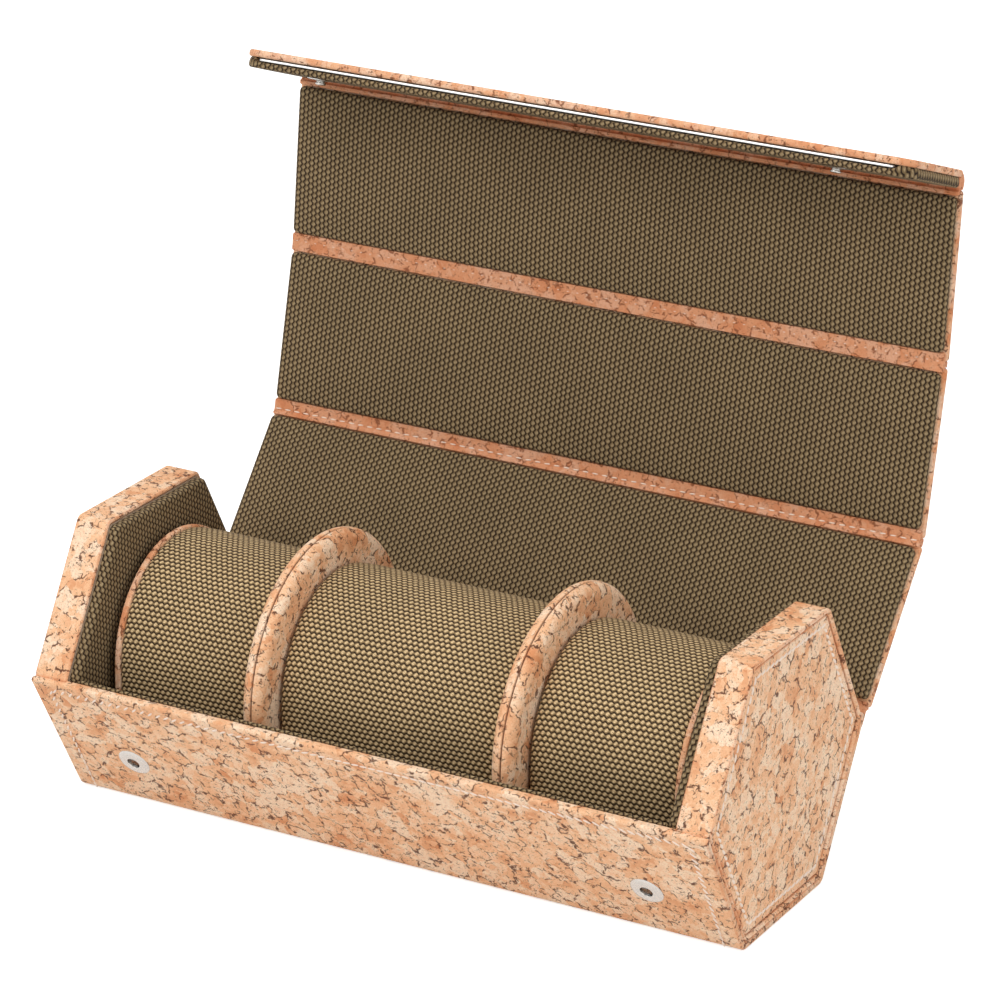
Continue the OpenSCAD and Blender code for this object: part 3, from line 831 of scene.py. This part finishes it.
def tray_outline(inset, inner):
    """Section of the tray's cork: outside from the front edge to the back edge, then back inside."""
    outer = SKIN_R - inset
    top = CENTRE_Z - inset
    rounding = max(bpy.context.scene.case_cork.edge - inset / 2, 0.3 * MM)
    lip = arc(2 * rounding * math.cos(math.pi / 6) - outer * 2 / ROOT3, top - rounding, rounding, 90, 210, 6)
    front_fold = hexagon_corner(outer, FOLD_R - inset, 240)
    back_fold = hexagon_corner(outer, FOLD_R - inset, 300)
    inner_front = hexagon_corner(inner, CORNER_R, 240, 4)
    inner_back = hexagon_corner(inner, CORNER_R, 300, 4)
    inside_y = inner * 2 / ROOT3
    far_lip = [(-a, b) for a, b in reversed(lip)]
    return (lip + along_line(lip[-1], front_fold[0], 0.6 * MM) + front_fold
            + along_line(front_fold[-1], back_fold[0], 4.0 * MM) + back_fold
            + along_line(back_fold[-1], far_lip[0], 2.5 * MM) + far_lip
            + [(inside_y + 0.3 * MM, top), (inside_y - 0.15 * MM, top - 0.3 * MM)]
            + inner_back[::-1] + inner_front[::-1]
            + [(0.15 * MM - inside_y, top - 0.3 * MM), (-inside_y - 0.3 * MM, top)])


def wall_lines(inset_x, low, high):
    """Stitch line on the tray's front: up one side, along the top edge and down the other."""
    place = wall_spot(FRONT_WALL, SKIN_R)
    outward = -(place.to_3x3() @ Vector((0, 0, 1)))
    x = CASE_END - inset_x
    corners = [(-x, high), (-x, low), (x, low), (x, high)]
    return [(place @ Vector((a, b, -0.05 * MM)), outward) for a, b in corners]


class CASE_OT_tray(bpy.types.Operator):
    """Cork shell of the tray with its boards, sewn round its front wall"""
    bl_idname = "case.tray"
    bl_label = "Tray"

    def execute(self, context):
        sewing = context.scene.case_stitching
        edge = context.scene.case_cork.edge
        end = [(CASE_END, edge + 0.35 * MM, 0.8)]
        for step in range(5):
            angle = math.pi / 2 * step / 4
            end.append((CASE_END - edge * (1 - math.cos(angle)), edge * (1 - math.sin(angle)),
                        math.sin(2 * angle)))
        thin = [(x, inset, worn, CAP_R + inset) for x, inset, worn in end]
        thin += [(x, 0.0, 0.0, CAP_R) for x in along_x(CASE_END - edge, INNER_X, 0.6 * MM)]
        half = thin + [(INNER_X, 0.0, 0.0, CAP_R), (INNER_X - 0.02 * MM, 0.0, 0.0, BOARD_R)]
        stations = half + [(x, 0.0, 0.0, BOARD_R) for x in along_x(INNER_X, -INNER_X, 1.25 * MM)]
        stations += [(-x, inset, worn, inner) for x, inset, worn, inner in reversed(half)]
        loops = [(x, tray_outline(inset, inner), worn) for x, inset, worn, inner in stations]
        shell = tube_along_x("tray_shell", loops, material_of("cork_skin"), seam_at_foot=False)
        self.press_stitching(shell, sewing)
        settle(shell, "tray", ["tray_skin"])
        line = wall_lines(sewing.end, sewing.inset - WALL_HALF, WALL_HALF - 2.0 * MM)
        settle(sew("front_wall_stitching", [(line, False)]), "tray")
        return {"FINISHED"}

    def press_stitching(self, shell, sewing):
        """Draw the cork in along the front wall's stitching, so that it swells beside it."""
        place = wall_spot(FRONT_WALL, SKIN_R)
        back = place.inverted()
        outward = -(place.to_3x3() @ Vector((0, 0, 1)))
        top = sewing.inset - WALL_HALF
        side = CASE_END - sewing.end
        for vertex in shell.data.vertices:
            x, y, z = back @ vertex.co
            if abs(z) > 0.3 * MM or y > WALL_HALF - 3 * MM:
                continue
            to_top = abs(y - top) if abs(x) < side else math.hypot(abs(x) - side, y - top)
            to_side = abs(abs(x) - side) if y > top else math.hypot(abs(x) - side, y - top)
            near = min(to_top, to_side) / STITCH_SWELL
            vertex.co -= outward * STITCH_DEPTH * math.exp(-near * near)


LINING_RISE = 1.5 * MM


class CASE_OT_tray_lining(bpy.types.Operator):
    """Canvas on the tray's three walls, its top edge standing a little above the cork"""
    bl_idname = "case.tray_lining"
    bl_label = "Tray lining"

    def execute(self, context):
        for node, angle, low_rise, high_rise in (("front_lining", FRONT_WALL, LINING_RISE, 0),
                                                 ("floor_lining", FLOOR_WALL, 0, 0),
                                                 ("back_lining", BACK_WALL, 0, LINING_RISE)):
            place = wall_spot(angle, BOARD_R)
            low, high = node_span(node, place)
            outline = round_rectangle(high.x, low.y - low_rise, high.y + high_rise, 0.4 * MM)
            profile = rounded_plate(0.0, high.z, 0.55 * MM, low_radius=0.1 * MM)
            piece = plate(node + "_canvas", outline, profile, on_panel(place), material_of("lining_canvas"))
            settle(piece, "tray", [node])
        return {"FINISHED"}


# ---- end caps ----

FACE_PRESS = ((-1.2, 0.06), (-0.5, 0.14), (0.0, 0.28), (0.5, 0.14), (1.2, 0.04), (3.0, 0.0), (12.0, -0.12),
              (14.0, -0.12))


def cap_band(side, name, node):
    """Cork band around an end cap, rounded on both rims."""
    edge = 0.8 * MM
    band = CAP_R - FACE_R - 0.4 * MM
    outer = hexagon(CAP_R, CORNER_R)
    inner = hexagon(CAP_R - band, CORNER_R - band)(0.0)
    lift = on_end(side)
    outside = rounded_plate(INNER_X, CASE_END - 0.05 * MM, edge, side=0.0)[1:-1]
    rings = [[lift(a, b, x) for a, b in outer(inset)] for inset, x, _ in outside]
    rings += [[lift(a, b, x) for a, b in inner] for x in (CASE_END - edge, INNER_X + edge)]
    wear_and_shade = [worn for _, _, worn in outside] + [0.4, 0.4]
    settle(bare_loft(name, rings, wear_and_shade, material_of("cork_skin"), closed=True), "tray", [node])


class CASE_OT_end_caps(bpy.types.Operator):
    """Both end caps: cork band, sewn cork face and padded canvas inside"""
    bl_idname = "case.end_caps"
    bl_label = "End caps"

    def execute(self, context):
        canvas = context.scene.case_canvas
        sewn = context.scene.case_stitching.face
        for side, word in ((-1, "left"), (1, "right")):
            cap_band(side, f"{word}_band", f"{word}_cap_band")
            face = rounded_plate(FACE_LOW.x, FACE_HIGH.x - 0.05 * MM, 0.7 * MM, low_radius=0.1 * MM)
            face += [(sewn + shift * MM, FACE_HIGH.x - dip * MM, 0) for shift, dip in FACE_PRESS]
            piece = plate(f"{word}_face", hexagon(FACE_R, CORNER_R - 1.5 * MM), face, on_end(side),
                          material_of("cork_skin"))
            settle(piece, "tray", [f"{word}_cap_face"])
            rim = hexagon(FACE_R, CORNER_R)(sewn)
            height = FACE_HIGH.x - 0.2 * MM
            line = [(on_end(side)(a, b, height), Vector((side, 0, 0))) for a, b in rim]
            settle(sew(f"{word}_face_stitching", [(line, True)], slant=0.3, width=1.1 * MM), "tray")
            pad = padded_plate(-INNER_X, -PAD_LOW.x, canvas.edge, canvas.crown, 14 * MM)
            inward = plate(f"{word}_pad", hexagon(PAD_R, CORNER_R), pad,
                           on_end(-side), material_of("lining_canvas"))
            settle(inward, "tray", [f"{word}_cap_pad"])
        return {"FINISHED"}


# ---- dividers ----

DIVIDER_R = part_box("left_divider_cover")[1].z - CENTRE_Z
DIVIDER_SLIMMING = 0.8 * MM
SEAM_HALF = 0.32 * MM
SEAM_DEPTH = 0.75 * MM


def divider_radius(angle):
    """Distance of a divider's rim from the case's middle, drawn in where it stands in the tray."""
    if math.sin(angle) >= 0:
        return DIVIDER_R
    nearest = min(abs(math.remainder(angle - math.radians(turn), math.tau)) for turn in (210, 270, 330))
    return min(DIVIDER_R, (LINING_R - 0.15 * MM) / math.cos(nearest))


class CASE_OT_dividers(bpy.types.Operator):
    """Two cork dividers with round rims and a seam"""
    bl_idname = "case.dividers"
    bl_label = "Dividers"

    def execute(self, context):
        for word in ("left", "right"):
            low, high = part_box(f"{word}_divider_cover")
            half = (high.x - low.x) / 2 - DIVIDER_SLIMMING
            piece = self.divider(f"{word}_divider", (low.x + high.x) / 2, half)
            settle(piece, "tray", [f"{word}_divider_cover"])
        return {"FINISHED"}

    def divider(self, name, middle, half):
        """Closed divider: rings of the rim's section round the case's middle, with flat sides."""
        seam_x = half * 0.1
        across = [-half * math.cos(math.pi * step / 32) for step in range(33)]
        across += [seam_x + SEAM_HALF * part / 2 for part in range(-5, 6)]
        section = []
        for x in sorted(across):
            away = (x - seam_x) / SEAM_HALF
            rise = math.sqrt(max(half ** 2 - x ** 2, 0.0)) - SEAM_DEPTH * math.exp(-away * away)
            # The fourth value, below zero at the seam, is painted shade in the seam groove.
            section.append((x, 1.0, rise, -1.2 * math.exp(-away * away * 2)))
        sides = (0.25, 0.5, 0.75, 0.9)
        section = [(-half, share, 0.0, 0.0) for share in sides] + section
        section += [(half, share, 0.0, 0.0) for share in reversed(sides)]
        rim = [(divider_radius(angle) - half, math.cos(angle), math.sin(angle))
               for angle in (math.tau * step / 180 for step in range(180))]
        rings = [[Vector((middle + x, (reach * share + rise) * a, CENTRE_Z + (reach * share + rise) * b))
                  for reach, a, b in rim] for x, share, rise, _ in section]
        return bare_loft(name, rings, [worn for _, _, _, worn in section], material_of("cork_skin"))


# ---- lid ----

BEND = 1.0 * MM
LINING_GAP = node_span("back_panel_lining", PANEL_SPOTS["back_panel"])[0].y
WIDE_LAP = 4.4 * MM
LINING_WIDER = 1.3 * MM
STRIP_T = node_span("rear_top_strip", PANEL_SPOTS["top_panel"])[1].z
FLAP_SKIN = node_span("flap_skin", PANEL_SPOTS["flap"])
FLAP_LINING = node_span("flap_lining", PANEL_SPOTS["flap"])
FLAP_BAR = node_span("flap_bar", PANEL_SPOTS["flap"])


def panel_skin(body):
    """Cork of a lid panel with rounded edges and ends."""
    place = PANEL_SPOTS[body]
    low, high = node_span(f"{body}_skin", place)
    outline = round_rectangle(high.x, low.y, high.y, 1.3 * MM)
    piece = plate(f"{body}_cork", outline, rounded_plate(low.z, high.z, 0.8 * MM), on_panel(place),
                  material_of("cork_skin"))
    settle(piece, body, [f"{body}_skin"])


def panel_lining(body):
    """Padded canvas of a lid panel, wrapped over its board and nearly as wide as its cork."""
    canvas = bpy.context.scene.case_canvas
    place = PANEL_SPOTS[body]
    low, high = node_span(f"{body}_lining", place)
    start = low.y + (0 if body == "back_panel" else WIDE_LAP - LINING_GAP)
    outline = round_rectangle(high.x + LINING_WIDER, start, high.y, 1.8 * MM)
    profile = padded_plate(0.05 * MM, high.z, canvas.edge, canvas.crown, 12 * MM)
    piece = plate(f"{body}_canvas", outline, profile, on_panel(place), material_of("lining_canvas"))
    settle(piece, body, [f"{body}_lining", f"{body}_board"])


class CASE_OT_lid_panels(bpy.types.Operator):
    """Three lid panels: cork outside, padded canvas inside"""
    bl_idname = "case.lid_panels"
    bl_label = "Lid panels"

    def execute(self, context):
        for body in ("back_panel", "top_panel", "front_panel"):
            panel_skin(body)
            panel_lining(body)
        return {"FINISHED"}


# ---- folds: strips of cork bent round a hinge ----

def held(value):
    """Value held between 0 and 1."""
    return min(max(value, 0.0), 1.0)


def eased(value):
    """Value held between 0 and 1, with a soft start and end."""
    part = held(value)
    return part * part * (3 - 2 * part)


class Fold:
    """A hinge between two places. A point is u, the length along the cork from the hinge, and a height."""

    def __init__(self, hinge, before, after, bodies):
        self.hinge, self.before, self.after, self.bodies = hinge, before, after, bodies

    def point(self, x, u, height_before, height_after):
        """Point of the bent cork."""
        weight = eased((u + BEND) / (2 * BEND))
        angle = self.before + (self.after - self.before) * weight
        height = height_before + (height_after - height_before) * weight
        return spot(self.hinge, angle) @ Vector((x, u, height))

    def bind(self, piece, slot, replaced=()):
        """Fix a finished piece in the case's own frame, where it stays, and hide the parts that it replaces."""
        start = self.point(0, -BEND, 0, 0)
        end = self.point(0, BEND, 0, 0)
        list(self.bodies)
        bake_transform(piece)
        if replaced:
            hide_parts(*replaced)


def bend_zone(height_before, height_after, turned=False):
    """Section points through the bend, towards the hinge's far side unless turned."""
    count = 10
    points = [(BEND * (2 * i / count - 1), height_before, height_after) for i in range(count + 1)]
    return points[::-1] if turned else points


def flat_point(u, height):
    """Section point outside the bend."""
    return (u, height, height)


def folds():
    """The four folds with the sections of their cork strips."""
    skin = -SKIN_T
    gap = FOLDS[0].y * ROOT3 / 2 - SKIN_R
    lap = LINING_GAP - 0.4 * MM
    inner_lap = [flat_point(-lap, 0.0), flat_point(-lap, STRIP_T * 0.75), flat_point(0.2 * MM - lap, STRIP_T)]
    far_lap = WIDE_LAP - 0.1 * MM
    outer_lap = [flat_point(far_lap - 0.2 * MM, STRIP_T), flat_point(far_lap, STRIP_T * 0.75),
                 flat_point(far_lap, 0.0)]
    between_panels = inner_lap + bend_zone(STRIP_T, STRIP_T) + outer_lap + [flat_point(BEND, 0.0)]
    between_panels += bend_zone(skin + 0.1 * MM, skin + 0.1 * MM, turned=True) + [flat_point(-BEND, 0.0)]
    back = Fold(FOLDS[0], BACK_WALL, BACK_ANGLE, ("tray", "back_panel"))
    rear = Fold(FOLDS[1], BACK_ANGLE, TOP_ANGLE, ("back_panel", "top_panel"))
    fore = Fold(FOLDS[2], TOP_ANGLE, FRONT_ANGLE, ("top_panel", "front_panel"))
    flap = Fold(FOLDS[3], FRONT_ANGLE, FLAP_ANGLE, ("front_panel", "flap"))
    low = node_span("back_hinge_strip", spot(FOLDS[0], BACK_WALL))[0]
    hinge_section = [flat_point(low.y, gap), flat_point(low.y * 0.5, gap + 0.05 * MM)]
    hinge_section += bend_zone(gap, 0.3 * MM)
    hinge_section += [flat_point(lap, 0.2 * MM), flat_point(lap, 0.0), flat_point(BEND, 0.0)]
    hinge_section += bend_zone(0.0, skin + 0.1 * MM, turned=True)
    hinge_section += [flat_point(low.y * 0.5, 0.0), flat_point(low.y + 1.5 * MM, 0.25 * MM),
                      flat_point(low.y, gap * 0.6)]
    out, under, inside = FLAP_SKIN[0].z, FLAP_SKIN[1].z, FLAP_LINING[1].z
    start = FLAP_LINING[0].y + 0.4 * MM
    flap_section = inner_lap + bend_zone(STRIP_T, inside - 0.3 * MM)
    flap_section += [flat_point(start, inside - 0.5 * MM), flat_point(start, under + 0.1 * MM),
                     flat_point(BEND, under + 0.05 * MM)]
    flap_section += bend_zone(skin + 0.1 * MM, out + 0.1 * MM, turned=True) + [flat_point(-BEND, 0.0)]
    return {
        "back_hinge": (back, hinge_section, "back_hinge_strip"),
        "rear_fold": (rear, between_panels, "rear_top_strip"),
        "front_fold": (fore, between_panels, "front_top_strip"),
        "flap_fold": (flap, flap_section, "flap_strip"),
    }


class CASE_OT_folds(bpy.types.Operator):
    """The lid's four folds, each a strip of cork bent round its hinge"""
    bl_idname = "case.folds"
    bl_label = "Folds"

    def execute(self, context):
        made = folds()
        for name, (fold, section, node) in made.items():
            self.strip(name, fold, section, node)
        for name, u, width, length in (("rear_fold", 0.7 * MM, 0.5 * MM, 2.3 * MM),
                                       ("front_fold", 1.6 * MM, 0.22 * MM, 0.9 * MM)):
            fold = made[name][0]
            ends = (2.5 * MM - CASE_END, CASE_END - 2.5 * MM)
            up = (fold.point(0, u, STRIP_T * 2, STRIP_T * 2) - fold.point(0, u, 0, 0)).normalized()
            line = [(fold.point(x, u, STRIP_T, STRIP_T), up) for x in ends]
            row = sew(f"{name}_stitching", [(line, False)], pitch=3.7 * MM, slant=0.05, width=width, length=length)
            fold.bind(row, "cork")
        return {"FINISHED"}

    def strip(self, name, fold, section, node):
        """One strip, rounded at both ends."""
        middle = [sum(column) / len(section) for column in zip(*section)]
        reach = CASE_END - 0.5 * MM
        stations = [(-reach, 0.82, 1.0), (0.25 * MM - reach, 0.93, 0.8), (0.8 * MM - reach, 1.0, 0.4)]
        stations += [(x, 1.0, 0.0) for x in along_x(1.0 * MM - reach, reach - 1.0 * MM, 6 * MM)]
        stations += [(-x, share, worn) for x, share, worn in reversed(stations[:3])]
        rings = [[fold.point(x, *(m + (value - m) * share for m, value in zip(middle, point)))
                  for point in section] for x, share, _ in stations]
        flats = [[(x, u) for u, _, _ in section] for x, _, _ in stations]
        piece = loft(name, rings, flats, [worn for _, _, worn in stations], material_of("cork_fold"))
        fold.bind(piece, "dark_cork", [node])


# ---- flap ----

class CASE_OT_flap(bpy.types.Operator):
    """Flap: cork, canvas and the steel strip between them"""
    bl_idname = "case.flap"
    bl_label = "Flap"

    def execute(self, context):
        place = PANEL_SPOTS["flap"]
        low, high = FLAP_SKIN
        outline = round_rectangle(high.x, low.y, high.y, 9 * MM, 0.8 * MM, steps=10)
        piece = plate("flap_cork", outline, rounded_plate(low.z, high.z, 0.85 * MM), on_panel(place),
                      material_of("cork_skin"))
        settle(piece, "flap", ["flap_skin"])
        canvas = FLAP_LINING
        bar_low, bar_high = FLAP_BAR
        slot_depth = canvas[0].z - high.z

        def droop(a, b, height):
            """Lining that comes down to the cork beyond the steel strip's ends."""
            share = eased((abs(a) - bar_high.x + 0.5 * MM) / (2.5 * MM))
            depth = held((canvas[1].z - 0.9 * MM - height) / (1.2 * MM))
            return place @ Vector((a, b, height - slot_depth * share * depth))

        outline = round_rectangle(canvas[1].x, canvas[0].y, canvas[1].y, 8.6 * MM, 0.8 * MM, steps=10,
                                  long_step=2 * MM)
        profile = rounded_plate(canvas[0].z, canvas[1].z - 0.15 * MM, 1.0 * MM)
        profile += [(6 * MM, canvas[1].z, 0), (7 * MM, canvas[1].z, 0)]
        piece = plate("flap_canvas", outline, profile, droop, material_of("lining_canvas"))
        settle(piece, "flap", ["flap_lining"])
        outline = round_rectangle(bar_high.x, bar_low.y + 0.3 * MM, bar_high.y - 0.6 * MM, 1.5 * MM)
        thin = (bar_high.z - bar_low.z - 0.9 * MM) / 2
        piece = plate("flap_bar_strip", outline, rounded_plate(bar_low.z + thin, bar_high.z - thin, 0.3 * MM),
                      on_panel(place), material_of("bar_steel"))
        settle(piece, "flap", ["flap_bar"])
        return {"FINISHED"}


# ---- snaps ----

STUD_PROFILE = ((4.75, 0.0), (4.8, 0.1), (4.65, 0.26), (4.1, 0.4), (2.9, 0.5), (1.9, 0.6), (1.45, 0.78),
                (1.35, 1.0), (1.45, 1.15), (1.75, 1.3), (1.8, 1.5), (1.72, 1.75), (1.45, 1.93), (0.8, 2.0))
SOCKET_PROFILE = ((2.2, -3.6), (2.2, 0.4), (2.28, 0.62), (2.55, 0.76), (3.1, 0.8), (4.0, 0.74), (4.9, 0.55),
                  (5.5, 0.3), (5.78, 0.1), (5.8, -0.1), (3.0, -0.1), (3.0, -3.6), (2.2, -3.6))


def snap_places(node, place, turned=False):
    """Places of the two snaps of a node, on its surface; turned looks the other way."""
    low, high = node_span(node, place)
    across = (high.y - low.y) / 2
    flip = Matrix.Rotation(math.pi, 4, "X") if turned else Matrix.Identity(4)
    reach, height = high.x - across, (low.y + high.y) / 2
    return [place @ Matrix.Translation((side * reach, height, 0)) @ flip for side in (-1, 1)]


class CASE_OT_snaps(bpy.types.Operator):
    """Two studs on the flap and two sockets in the front wall"""
    bl_idname = "case.snaps"
    bl_label = "Snaps"

    def execute(self, context):
        steel = material_of("satin_steel")
        lining = PANEL_SPOTS["flap"] @ Matrix.Translation((0, 0, FLAP_LINING[1].z))
        profile = [(r * MM, h * MM) for r, h in STUD_PROFILE]
        piece = lathe("flap_studs", profile, snap_places("snap_studs", lining), steel)
        settle(piece, "flap", ["snap_studs"])
        places = snap_places("snap_sockets", wall_spot(FRONT_WALL, SKIN_R), turned=True)
        profile = [(r * MM, h * MM) for r, h in SOCKET_PROFILE]
        piece = lathe("wall_sockets", profile, places, steel)
        settle(piece, "tray", ["snap_sockets"])
        bore = [(2.6 * MM, -1.5 * MM), (2.6 * MM, 1.5 * MM)]
        cutter = lathe("socket_bores", bore, places, steel)
        shell = bpy.data.objects["tray_shell"]
        cut = shell.modifiers.new("bores", "BOOLEAN")
        cut.operation = "DIFFERENCE"
        cut.object = cutter
        baked(shell, cut)
        bpy.data.objects.remove(cutter)
        return {"FINISHED"}


# ---- pillows ----

PILLOW_FOOT_HALF = 10.4 * MM
DISC_INSET = 1.8 * MM
DISC_DEPTH = 0.3 * MM
BARE_END = ((-0.4, 2.2), (0.0, 0.9), (0.25, 0.45), (0.7, 0.15), (1.4, 0.0), (3.0, -0.12), (6.0, -0.25))
WRAPPED_END = ((1.5, 4.3), (0.4, 4.1), (0.1, 3.7), (0.0, 3.0), (0.0, 1.6), (0.05, 1.1), (0.3, 0.62), (0.8, 0.25),
               (1.5, 0.08), (3.0, -0.1), (6.0, -0.25))


class CASE_OT_pillows(bpy.types.Operator):
    """Three pillows: padded canvas closed by cork discs"""
    bl_idname = "case.pillows"
    bl_label = "Pillows"

    def execute(self, context):
        for word in ("left", "middle", "right"):
            self.pillow(word)
        return {"FINISHED"}

    def pillow(self, word):
        """Padded cover between two cork discs. Its canvas wraps over the disc at an end that faces a divider."""
        body = f"{word}_pillow"
        low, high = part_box(f"{body}_discs")
        inner_low, inner_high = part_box(f"{body}_cover")
        proud = (high.y - low.y - inner_high.y + inner_low.y) / 2
        thick = inner_low.x - low.x
        oval = upright_oval((high.y - low.y) / 2, low.z, high.z, PILLOW_FOOT_HALF)
        ends = []
        for side, disc_x, cover_x, is_bare in ((1, low.x, inner_low.x, word == "left"),
                                               (-1, high.x, inner_high.x, word == "right")):
            shape, base = (BARE_END, cover_x) if is_bare else (WRAPPED_END, disc_x)
            ends.append([(base + side * x * MM, proud + inset * MM) for x, inset in shape])
        first, last = ends
        run = along_x(first[-1][0], last[-1][0], 4 * MM)
        stations = first + [(x, first[-1][1]) for x in run] + last[::-1]
        loops = [(x, oval(inset), 0.0) for x, inset in stations]
        cover = tube_along_x(f"{body}_canvas", loops, material_of("pillow_canvas"))
        settle(cover, body, [f"{body}_cover", f"{body}_core"])
        discs = []
        for side, x, is_bare in ((-1, low.x, word == "left"), (1, high.x, word == "right")):
            sunk = 0.0 if is_bare else DISC_INSET
            x -= 0.0 if is_bare else side * DISC_DEPTH
            profile = [(inset + sunk, height, worn) for inset, height, worn in rounded_plate(0.0, thick, 0.5 * MM)]
            discs.append(plate(f"{body}_disc", oval, profile,
                               lambda a, b, height, x=x, side=side: Vector((x - side * height, a, b)),
                               material_of("cork_skin")))
        settle(joined(f"{body}_end_discs", discs), body, [f"{body}_discs"])


# ---- boards and other hidden parts ----

class CASE_OT_boards(bpy.types.Operator):
    """Materials of the boards, springs and rivets that stay as they are in the frame"""
    bl_idname = "case.boards"
    bl_label = "Boards"

    def execute(self, context):
        for name, node in frame["nodes"].items():
            if name in ("socket_springs", "stud_rivets"):
                self.paint(node, material_of("spring_steel"))
            elif name.endswith("_core"):
                self.paint(node, material_of("fibreboard"))
            elif name.endswith("_board"):
                self.paint(node, material_of("greyboard"))
        return {"FINISHED"}

    def paint(self, node, material):
        """Give every material slot of a frame node this material."""
        for slot in node.material_slots:
            slot.material = material


# ---- stage ----

FLOOR_HALF = 6.0

class CASE_OT_stage(bpy.types.Operator):
    """Camera, soft lamps and a plain white floor"""
    bl_idname = "case.stage"
    bl_label = "Stage"

    def execute(self, context):
        scene = context.scene
        stage = scene.case_stage
        scene.view_settings.view_transform = "Standard"
        self.camera(scene, stage)
        middle = Vector((0, 0, 0.1))
        for name, power, size, location in (
                ("key_lamp", stage.key, 1.6, (-0.9, -1.9, 1.7)),
                ("top_lamp", stage.top, 1.8, (0.1, 0.2, 2.2)),
                ("fill_lamp", stage.fill, 1.4, (1.9, -0.9, 0.9))):
            lamp = bpy.data.lights.new(name, "AREA")
            lamp.energy, lamp.size = power, size
            holder = placed(name, lamp)
            holder.location = location
            holder.rotation_euler = (middle - holder.location).to_track_quat("-Z", "Y").to_euler()
        self.floor()
        self.world(scene, stage)
        return {"FINISHED"}

    def camera(self, scene, stage):
        """Camera where the photograph was taken from."""
        forward = Vector((math.sin(stage.turn) * math.cos(stage.tilt),
                          math.cos(stage.turn) * math.cos(stage.tilt), math.sin(stage.tilt)))
        level = forward.cross(Vector((0, 0, 1))).normalized()
        upright = level.cross(forward)
        right = level * math.cos(stage.roll) + upright * math.sin(stage.roll)
        up = upright * math.cos(stage.roll) - level * math.sin(stage.roll)
        data = bpy.data.cameras.new("photo_camera")
        data.sensor_width = 36
        data.lens = stage.lens
        camera = placed("photo_camera", data)
        turn = Matrix((right, up, -forward)).transposed().to_4x4()
        camera.matrix_world = Matrix.Translation(stage.eye) @ turn
        scene.camera = camera

    def floor(self):
        """Large white floor that keeps a soft shadow."""
        mesh = bpy.data.meshes.new("floor")
        corners = ((-1, -1), (1, -1), (1, 1), (-1, 1))
        mesh.from_pydata([(FLOOR_HALF * a, FLOOR_HALF * b, 0) for a, b in corners], [], [(0, 1, 2, 3)])
        floor = placed("floor", mesh)
        material, nodes, shader = new_material("studio_floor")
        nodes.fill(shader, {"Base Color": (0.8, 0.8, 0.8, 1), "Roughness": 0.9, "Emission Color": (1, 1, 1, 1),
                            "Emission Strength": nodes.times(nodes.directly_seen(), 0.62)})
        mesh.materials.append(material)

    def world(self, scene, stage):
        """White to the camera and to reflections, softer as a light."""
        world = bpy.data.worlds.new("studio")
        scene.world = world
        world.use_nodes = True
        nodes = Nodes(world.node_tree)
        ground = next(n for n in world.node_tree.nodes if n.type == "BACKGROUND")
        strength = nodes.span(nodes.directly_seen(), 0, 1, stage.sky, 1.0, smooth=False)
        nodes.fill(ground, {"Color": (1, 1, 1, 1), "Strength": strength})


OPERATORS = (CASE_OT_stage, CASE_OT_tray, CASE_OT_tray_lining, CASE_OT_end_caps, CASE_OT_dividers,
             CASE_OT_lid_panels, CASE_OT_folds, CASE_OT_flap, CASE_OT_snaps, CASE_OT_pillows, CASE_OT_boards)


class CASE_PT_builder(bpy.types.Panel):
    """Builders of the travel case and the values that they read"""
    bl_idname = "CASE_PT_builder"
    bl_label = "Watch case"
    bl_space_type = "VIEW_3D"
    bl_region_type = "UI"
    bl_category = "Watch case"

    def draw(self, context):
        for name, group in PROPERTY_GROUPS.items():
            box = self.layout.box()
            for key in group.__annotations__:
                box.prop(getattr(context.scene, name), key)
        for operator in OPERATORS:
            self.layout.operator(operator.bl_idname)


CLASSES = (*PROPERTY_GROUPS.values(), *OPERATORS, CASE_PT_builder)


def register():
    """Register the classes and their settings."""
    for cls in CLASSES:
        bpy.utils.register_class(cls)
    for name, group in PROPERTY_GROUPS.items():
        setattr(bpy.types.Scene, name, bpy.props.PointerProperty(type=group))


def unregister():
    """Remove the classes and their settings."""
    for name in PROPERTY_GROUPS:
        delattr(bpy.types.Scene, name)
    for cls in reversed(CLASSES):
        bpy.utils.unregister_class(cls)


def main():
    """Build the case."""
    register()
    for operator in OPERATORS:
        group, name = operator.bl_idname.split(".")
        getattr(getattr(bpy.ops, group), name)()


if __name__ == "__main__":
    main()
